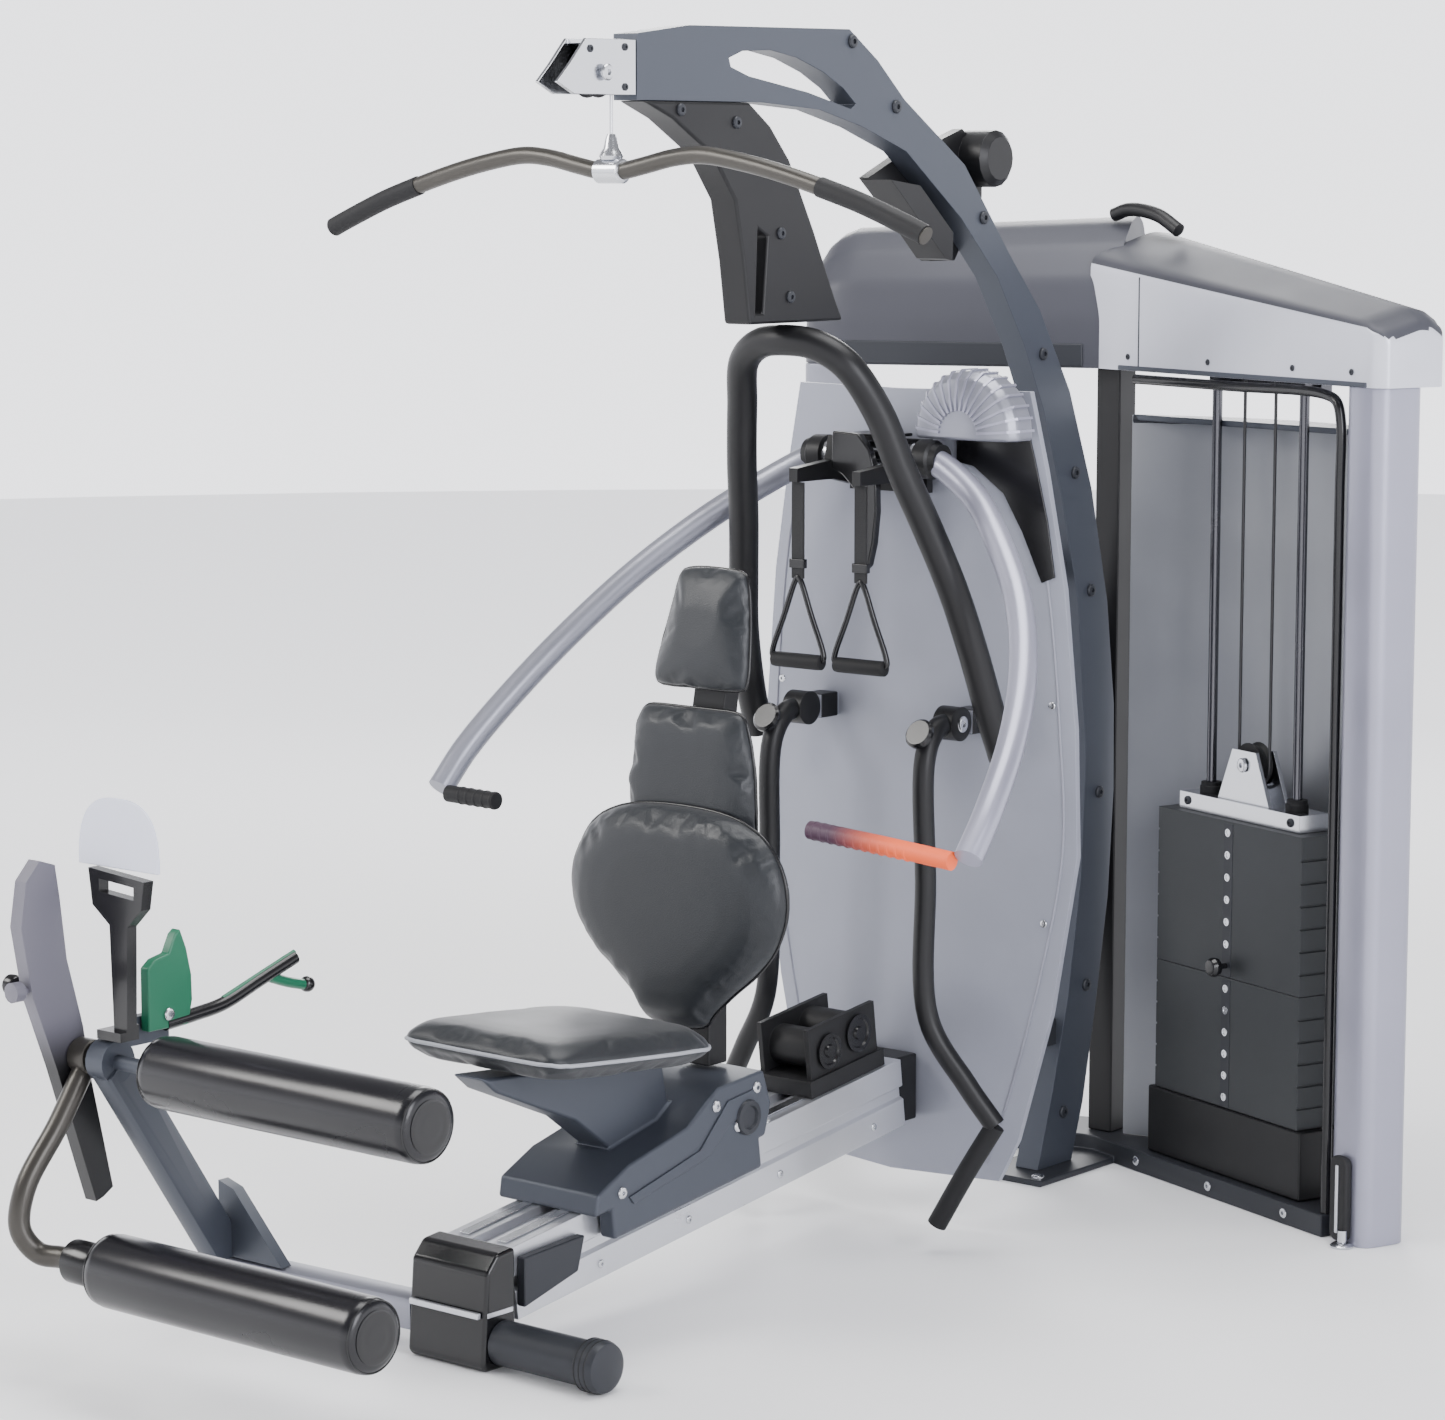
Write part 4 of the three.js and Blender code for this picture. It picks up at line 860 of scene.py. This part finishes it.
# ---------- Rail ----------
def make_rail():
    dress("rail", ALUMINIUM, 0.0015)
    dress("rail_front_cap", GLOSS, 0.010, 4)
    dress("rail_rear_mount", BLACK, 0.004)
    dress("rail_gusset", DARK, 0.003)
    dress("lateral_beam", SILVER, 0.003)
    dress("pulley_block", MATTE, 0.003)
    make_stabiliser()
    block("cap_strip", (-0.074, -1.7035, 0.086), (0.074, -1.6955, 0.096), ALUMINIUM, "frame",
          "steel", 0.002)
    block("cap_strip_side", (0.0815, -1.690, 0.087), (0.0835, -1.632, 0.095), ALUMINIUM, "frame",
          "steel", 0.001)
    for side, word in SIDES:
        middle = side * 0.040
        block(f"rail_guide_{word}", (middle - 0.010, 0.010, 0.0602), (middle + 0.010, 0.768, 0.0635),
              STEEL, "frame", "rail_aluminium", 0.0012, on_rail)
        places = [on_rail(side * 0.0702, y, -0.036) for y in (0.20, 0.42, 0.66, 0.92)]
        screws(f"rail_screws_{word}", places, (side, 0, 0), 0.007, STEEL, "frame", "steel", 0.003)
        for kind, rim, y, z in (("", 0.033, 0.912, 0.1365), ("front_", 0.031, 0.830, 0.1285)):
            lathe(f"block_wheel_{kind}{word}", guide_wheel(rim), on_rail(side * 0.056, y, z), (side, 0, 0),
                  GLOSS, "frame", "black_plastic")


def guide_wheel(rim):
    """Section of a wheel face whose rim and boss stand out."""
    return [(0.0, rim - 0.003), (0.003, rim), (0.006, rim), (0.006, rim - 0.007), (0.003, rim - 0.009),
            (0.003, 0.012), (0.007, 0.010), (0.007, 0.004)]


def make_stabiliser():
    start = (0.083, -1.656, 0.042)
    profile = [(0.0, 0.034), (0.001, 0.0358), (0.176, 0.0358), (0.180, 0.0405), (0.184, 0.0412),
               (0.208, 0.0412), (0.216, 0.038), (0.2195, 0.030)]
    lathe("stabiliser_tube", profile, start, (1, 0, 0), DARK, "frame", "dark_frame", ("stabiliser",))
    rib = [(-0.0018, 0.0405), (-0.0008, 0.0420), (0.0008, 0.0420), (0.0018, 0.0405)]
    for i, x in enumerate((0.266, 0.276, 0.286)):
        lathe(f"stabiliser_rib_{i}", rib, (x, *start[1:]), (1, 0, 0), MATTE, "frame", "dark_frame")


# ---------- Pads ----------
def ring_of(outline, centre, share):
    return [(centre[0] + (u - centre[0]) * share, centre[1] + (v - centre[1]) * share) for u, v in outline]


def refined(outline, rounds=2):
    """The outline with its corners rounded by corner cutting."""
    points = list(outline)
    for _ in range(rounds):
        made = []
        for (u0, v0), (u1, v1) in zip(points, points[1:] + points[:1]):
            made.append((0.75 * u0 + 0.25 * u1, 0.75 * v0 + 0.25 * v1))
            made.append((0.25 * u0 + 0.75 * u1, 0.25 * v0 + 0.75 * v1))
        points = made
    return points


def crowned(outline, centre, front, back, place):
    """Verts and faces of a closed pad: it is thickest at its centre and rounds over at its edge."""
    levels = [math.radians(a) for a in (6, 20, 36, 52, 66, 78)]
    shares = [(math.cos(a) ** 0.42, -front * math.sin(a) ** 0.75) for a in reversed(levels)]
    shares.append((1.0, 0.0))
    shares += [(math.cos(a) ** 0.18, back * math.sin(a) ** 0.6) for a in levels]
    verts = []
    for share, lift in shares:
        for u, v in ring_of(outline, centre, share):
            verts.append(place(u, v, lift))
    return verts, skin(len(shares), len(outline))


def settle_cloth(obj):
    """Blows a pad up as cloth for a few frames, holds each point's move to PAD_GROWTH, and keeps it."""
    rest = [v.co.copy() for v in obj.data.vertices]
    cloth = obj.modifiers.new("cloth", "CLOTH")
    cloth.settings.use_pressure = True
    cloth.settings.uniform_pressure_force = 4.0
    cloth.settings.effector_weights.gravity = 0.0
    cloth.settings.quality = 6
    for step in range(1, CLOTH_FRAMES + 1):
        bpy.context.scene.frame_set(step)
    settled = obj.evaluated_get(bpy.context.evaluated_depsgraph_get())
    moved = [v.co.copy() for v in settled.data.vertices]
    obj.modifiers.remove(cloth)
    for vertex, old, new in zip(obj.data.vertices, rest, moved):
        step = new - old
        if step.length > PAD_GROWTH:
            step = step.normalized() * PAD_GROWTH
        vertex.co = old + step
    bpy.context.scene.frame_set(1)


def swell(obj):
    """Inflates a pad a little as cloth, so its cover takes natural creases, and keeps the result."""
    view = bpy.context.view_layer
    for other in view.objects:
        other.select_set(False)
    obj.select_set(True)
    view.objects.active = obj
    remesh = obj.modifiers.new("remesh", "REMESH")
    remesh.mode = "VOXEL"
    remesh.voxel_size = PAD_VOXEL
    remesh.use_smooth_shade = True
    bpy.ops.object.modifier_apply(modifier="remesh")
    settle_cloth(obj)
    soften = obj.modifiers.new("soften", "SMOOTH")
    soften.iterations = 4
    soften.factor = 0.5
    bpy.ops.object.modifier_apply(modifier="soften")
    finer = obj.modifiers.new("finer", "SUBSURF")
    finer.levels = 1
    finer.render_levels = 1
    bpy.ops.object.modifier_apply(modifier="finer")
    obj.data.shade_smooth()


def seam_on(obj, name, points, radius, material, body, slot):
    """Piping that follows the pad's own surface nearest to the given closed line."""
    path = []
    for p in points:
        found, place, normal, _ = obj.closest_point_on_mesh(Vector(p))
        path.append(place + normal * (radius * 0.25) if found else Vector(p))
    verts, faces = tube_mesh(path, radius, 10, closed=True)
    return piece(name, verts, faces, material, body, slot)


def make_pad(name, outline, centre, front, back, place, node, body, piping=None, radius=0.0028):
    shape = refined(outline)
    verts, faces = crowned(shape, centre, front, back, place)
    obj = piece(name, verts, faces, VINYL, body, "vinyl", (node,) if node else ())
    swell(obj)
    line = [place(u, v, 0.0) for u, v in ring_of(shape, centre, 1.02)]
    seam_on(obj, name + "_piping", line, radius, piping or GLOSS, body, "vinyl")
    return obj


def make_seat():
    half = [(0.140, -0.212), (0.172, -0.195), (0.184, -0.150), (0.186, 0.130), (0.165, 0.195),
            (0.110, 0.212)]
    outline = [(-0.140, -0.212), *half, *[(-u, v) for u, v in half[:0:-1]]]
    make_pad("seat_cushion", outline, (0, 0), 0.026, 0.018,
             seat_place, "seat_pad", "seat", PIPING, 0.0032)


def seat_place(u, v, w):
    """Across u, along v, and w down from the cushion's seam level; the seat leans back by 5 degrees."""
    y = v * math.cos(SEAT_LEAN) + w * math.sin(SEAT_LEAN)
    z = v * math.sin(SEAT_LEAN) - w * math.cos(SEAT_LEAN)
    return Vector((u, -1.425 + y, 0.467 + z))


def make_back():
    def facing(y_seam):
        return lambda u, v, w: Vector((u, y_seam + w, v))

    half = [(0.118, 0.690), (0.140, 0.740), (0.143, 0.860), (0.130, 0.930), (0.116, 0.976), (0.070, 0.983)]
    neck = [(-0.118, 0.690), *half, *[(-u, v) for u, v in half[:0:-1]]]
    make_pad("neck_cushion", neck, (0, 0.84), 0.024, 0.014, facing(-1.094), "back_pad", "seat")
    half = [(0.056, 0.436), (0.078, 0.466), (0.122, 0.505), (0.180, 0.552), (0.222, 0.604),
            (0.238, 0.664), (0.230, 0.722), (0.200, 0.772), (0.150, 0.806), (0.085, 0.822)]
    bulb = [(-0.056, 0.436), *half, (0.0, 0.826), *[(-u, v) for u, v in half[:0:-1]]]
    make_pad("lumbar_cushion", bulb, (0, 0.652), 0.040, 0.024, facing(-1.132), None, "seat")
    half = [(0.088, 0.999), (0.101, 1.012), (0.094, 1.090), (0.076, 1.186), (0.060, 1.203)]
    head = [(-0.088, 0.999), *half, *[(-u, v) for u, v in half[:0:-1]]]
    make_pad("head_cushion", head, (0, HEAD_MIDDLE), 0.022, 0.012, head_place, "headrest", "head_pad")
    dress("back_post", BLACK, 0.003)
    places = [(x, -1.0470, z) for x in (-0.018, 0.018) for z in (0.50, 0.54)]
    screws("back_post_bolts", places, (0, 1, 0), 0.007, STEEL, "seat", "steel")


def head_place(u, v, w):
    """Across u, up to height v, and w back from the headrest's seam level; the headrest leans back."""
    up = v - HEAD_MIDDLE
    return Vector((u, -1.058 + w * math.cos(HEAD_LEAN) + up * math.sin(HEAD_LEAN),
                   HEAD_MIDDLE + up * math.cos(HEAD_LEAN) - w * math.sin(HEAD_LEAN)))


def make_carriage():
    dress("carriage", SLATE, 0.006, 3)
    rib = [(0.240, 0.070), (0.420, 0.090), (0.500, 0.150), (0.590, 0.150), (0.570, 0.120), (0.500, 0.110),
           (0.440, 0.072), (0.250, 0.055)]
    hub = [(0, 0.028), (0.004, 0.030), (0.008, 0.028), (0.009, 0.020), (0.005, 0.018), (0.005, 0.006)]
    for side, word in SIDES:
        places = [on_rail(side * 0.106, y, z) for y, z in
                  ((0.225, 0.082), (0.520, 0.100), (0.575, 0.150), (0.470, 0.150))]
        screws(f"carriage_bolts_{word}", places, (side, 0, 0), 0.010, STEEL, "seat", "steel", 0.005)
        plate(f"carriage_rib_{word}", rib, 0.004, SLATE, "seat", "slate",
              lambda u, v, w, s=side: on_rail(s * (0.1055 + w), u, v), bevel=0.0015)
        lathe(f"carriage_hub_{word}", hub, on_rail(side * 0.106, 0.545, 0.108), (side, 0, 0), DARK,
              "seat", "slate")


# ---------- Leg unit ----------
def make_roller(name, node, body, axle):
    y, z = axle
    profile = [(0.001, 0.016), (0.0015, 0.044), (0.004, 0.050), (0.010, 0.0555), (0.020, 0.0568),
               (0.200, 0.0572), (0.370, 0.0572), (0.550, 0.0568), (0.560, 0.0555), (0.566, 0.050),
               (0.5685, 0.044), (0.569, 0.016)]
    cap = [(-0.002, 0.040), (0.0006, 0.0405), (0.0018, 0.037), (0.0010, 0.030), (0.0022, 0.020),
           (0.0022, 0.0135)]
    obj = lathe(name, profile, (-0.278, y, z), (1, 0, 0), ROLLER_VINYL, body, "vinyl", (node,), sides=64)
    obj.data.set_sharp_from_angle(angle=math.radians(80))
    for word, x, side in (("left", -0.2775, -1), ("right", 0.2915, 1)):
        lathe(f"{name}_cap_{word}", cap, (x, y, z), (side, 0, 0), GLOSS, body, "black_plastic")
        loop = [(x - side * 0.006, y + 0.0532 * math.cos(a), z + 0.0532 * math.sin(a)) for a in
                [2 * math.pi * i / 48 for i in range(48)]]
        tube(f"{name}_seam_{word}", loop, 0.0016, GLOSS, body, "vinyl", curve=False, sides=8, closed=True)


def make_leg_unit():
    make_roller("upper_roller_foam", "upper_roller", "upper_roll", KNEE_AXIS)
    make_roller("lower_roller_foam", "lower_roller", "lower_roll", SHIN_AXIS)
    dress("leg_post", SLATE, 0.004, 3)
    dress("range_lever", LEVER, 0.006, 3)
    dress("grab_handle", GLOSS, 0.005, 3)
    card = []
    for i in range(33):
        a = math.pi * i / 32
        c, d = math.cos(a), math.sin(a)
        card.append((-0.371 + 0.090 * math.copysign(abs(c) ** 0.72, c), 0.788 + 0.109 * d ** 0.72))
    plate("placard_card", card, 0.007, CARD, "frame", "white_card",
          lambda u, v, w: Vector((u, -2.0255 + w, v)), ("placard",), bevel=0.0022)
    make_leg_arm()
    make_range_knob()
    make_start_lever()


def make_leg_arm():
    bend = [(-0.444, -2.040, 0.464), (-0.445, -2.090, 0.390), (-0.446, -2.160, 0.300),
            (-0.440, -2.176, 0.240), (-0.418, -2.160, 0.204), (-0.380, *SHIN_AXIS), (-0.340, *SHIN_AXIS)]
    tube("leg_arm_tube", bend, 0.0172, BRONZE, "leg", "bronze_bar", ("leg_arm",), sides=24, per_span=14)
    ring = [(-0.462, 0.0135), (-0.462, 0.026), (-0.460, 0.028), (-0.428, 0.028), (-0.426, 0.026),
            (-0.426, 0.0135)]
    lathe("leg_arm_ring", ring, (0, *KNEE_AXIS), (1, 0, 0), BRONZE, "leg", "bronze_bar")
    hub = [(-0.352, 0.022), (-0.352, 0.030), (-0.349, 0.034), (-0.300, 0.034), (-0.284, 0.026),
           (-0.281, 0.018)]
    lathe("leg_hub", hub, (0, *SHIN_AXIS), (1, 0, 0), GLOSS, "leg", "black_plastic")
    lathe("shin_axle", [(-0.330, 0.0118), (0.284, 0.0118), (0.286, 0.010)], (0, *SHIN_AXIS), (1, 0, 0),
          STEEL, "leg", "steel")
    screws("shin_axle_bolt", [(0.286, *SHIN_AXIS)], (1, 0, 0), 0.0105, STEEL, "leg", "steel", 0.005)
    screws("knee_axle_bolt", [(0.286, *KNEE_AXIS)], (1, 0, 0), 0.0105, STEEL, "frame", "steel", 0.005)
    screws("pivot_bolt", [(-0.470, *KNEE_AXIS)], (-1, 0, 0), 0.0105, STEEL, "frame", "steel", 0.004)


def make_range_knob():
    knob = [(0.0, 0.007), (0.020, 0.007), (0.022, 0.014), (0.026, 0.0165), (0.040, 0.0165),
            (0.045, 0.013), (0.046, 0.006)]
    lathe("range_knob", knob, (-0.490, -2.108, 0.600), (-1, 0, 0), GLOSS, "leg", "black_plastic")


def make_start_lever():
    cam = [(-1.966, 0.522), (-1.882, 0.522), (-1.873, 0.560), (-1.874, 0.600), (-1.884, 0.644),
           (-1.897, 0.676), (-1.908, 0.668), (-1.922, 0.640), (-1.950, 0.634), (-1.966, 0.622)]
    plate("lever_cam", cam, 0.019, GREEN, "start", "green_lever",
          lambda u, v, w: Vector((-0.3915 + w, u, v)), ("start_lever",), bevel=0.003)
    reach = [(LEVER_X, LEVER_HINGE_Y, 0.528), (LEVER_X, -1.860, 0.533), (LEVER_X, -1.800, 0.540),
             (LEVER_X, -1.720, 0.566), (LEVER_X, -1.642, 0.591)]
    tube("lever_arm", reach, 0.0112, GLOSS, "start", "green_lever", sides=20)
    stripe = [(x, y, z + 0.0085) for x, y, z in reach[2:]]
    tube("lever_stripe", stripe, 0.0045, GREEN, "start", "green_lever", sides=14)
    tee = [(LEVER_X, -1.700, 0.568), (LEVER_X, -1.655, 0.552), (LEVER_X, -1.613, 0.541)]
    tube("lever_tee", tee, 0.0088, GREEN, "start", "green_lever", sides=18)
    ball = [(0.013 - 0.013 * math.cos(math.radians(a)), 0.0002 + 0.013 * math.sin(math.radians(a)))
            for a in range(0, 181, 15)]
    lathe("lever_tip", ball, (LEVER_X, -1.627, 0.546), (0, 0.98, -0.26), GLOSS, "start", "green_lever",
          sides=28)
    screws("lever_pivot", [(-0.372, LEVER_HINGE_Y, 0.545)], (1, 0, 0), 0.010, STEEL, "start",
           "green_lever", 0.005)


make_camera()
make_light()
light_far_floor()
make_floor(FLOOR)
make_hoods()
make_tower()
make_stack_bay()
make_stack_cable()
make_lat()
make_fork()
make_shroud_details()
make_press()
make_straps()
make_strap_hook()
make_row_arms()
make_rail()
make_carriage()
make_seat()
make_back()
make_leg_unit()
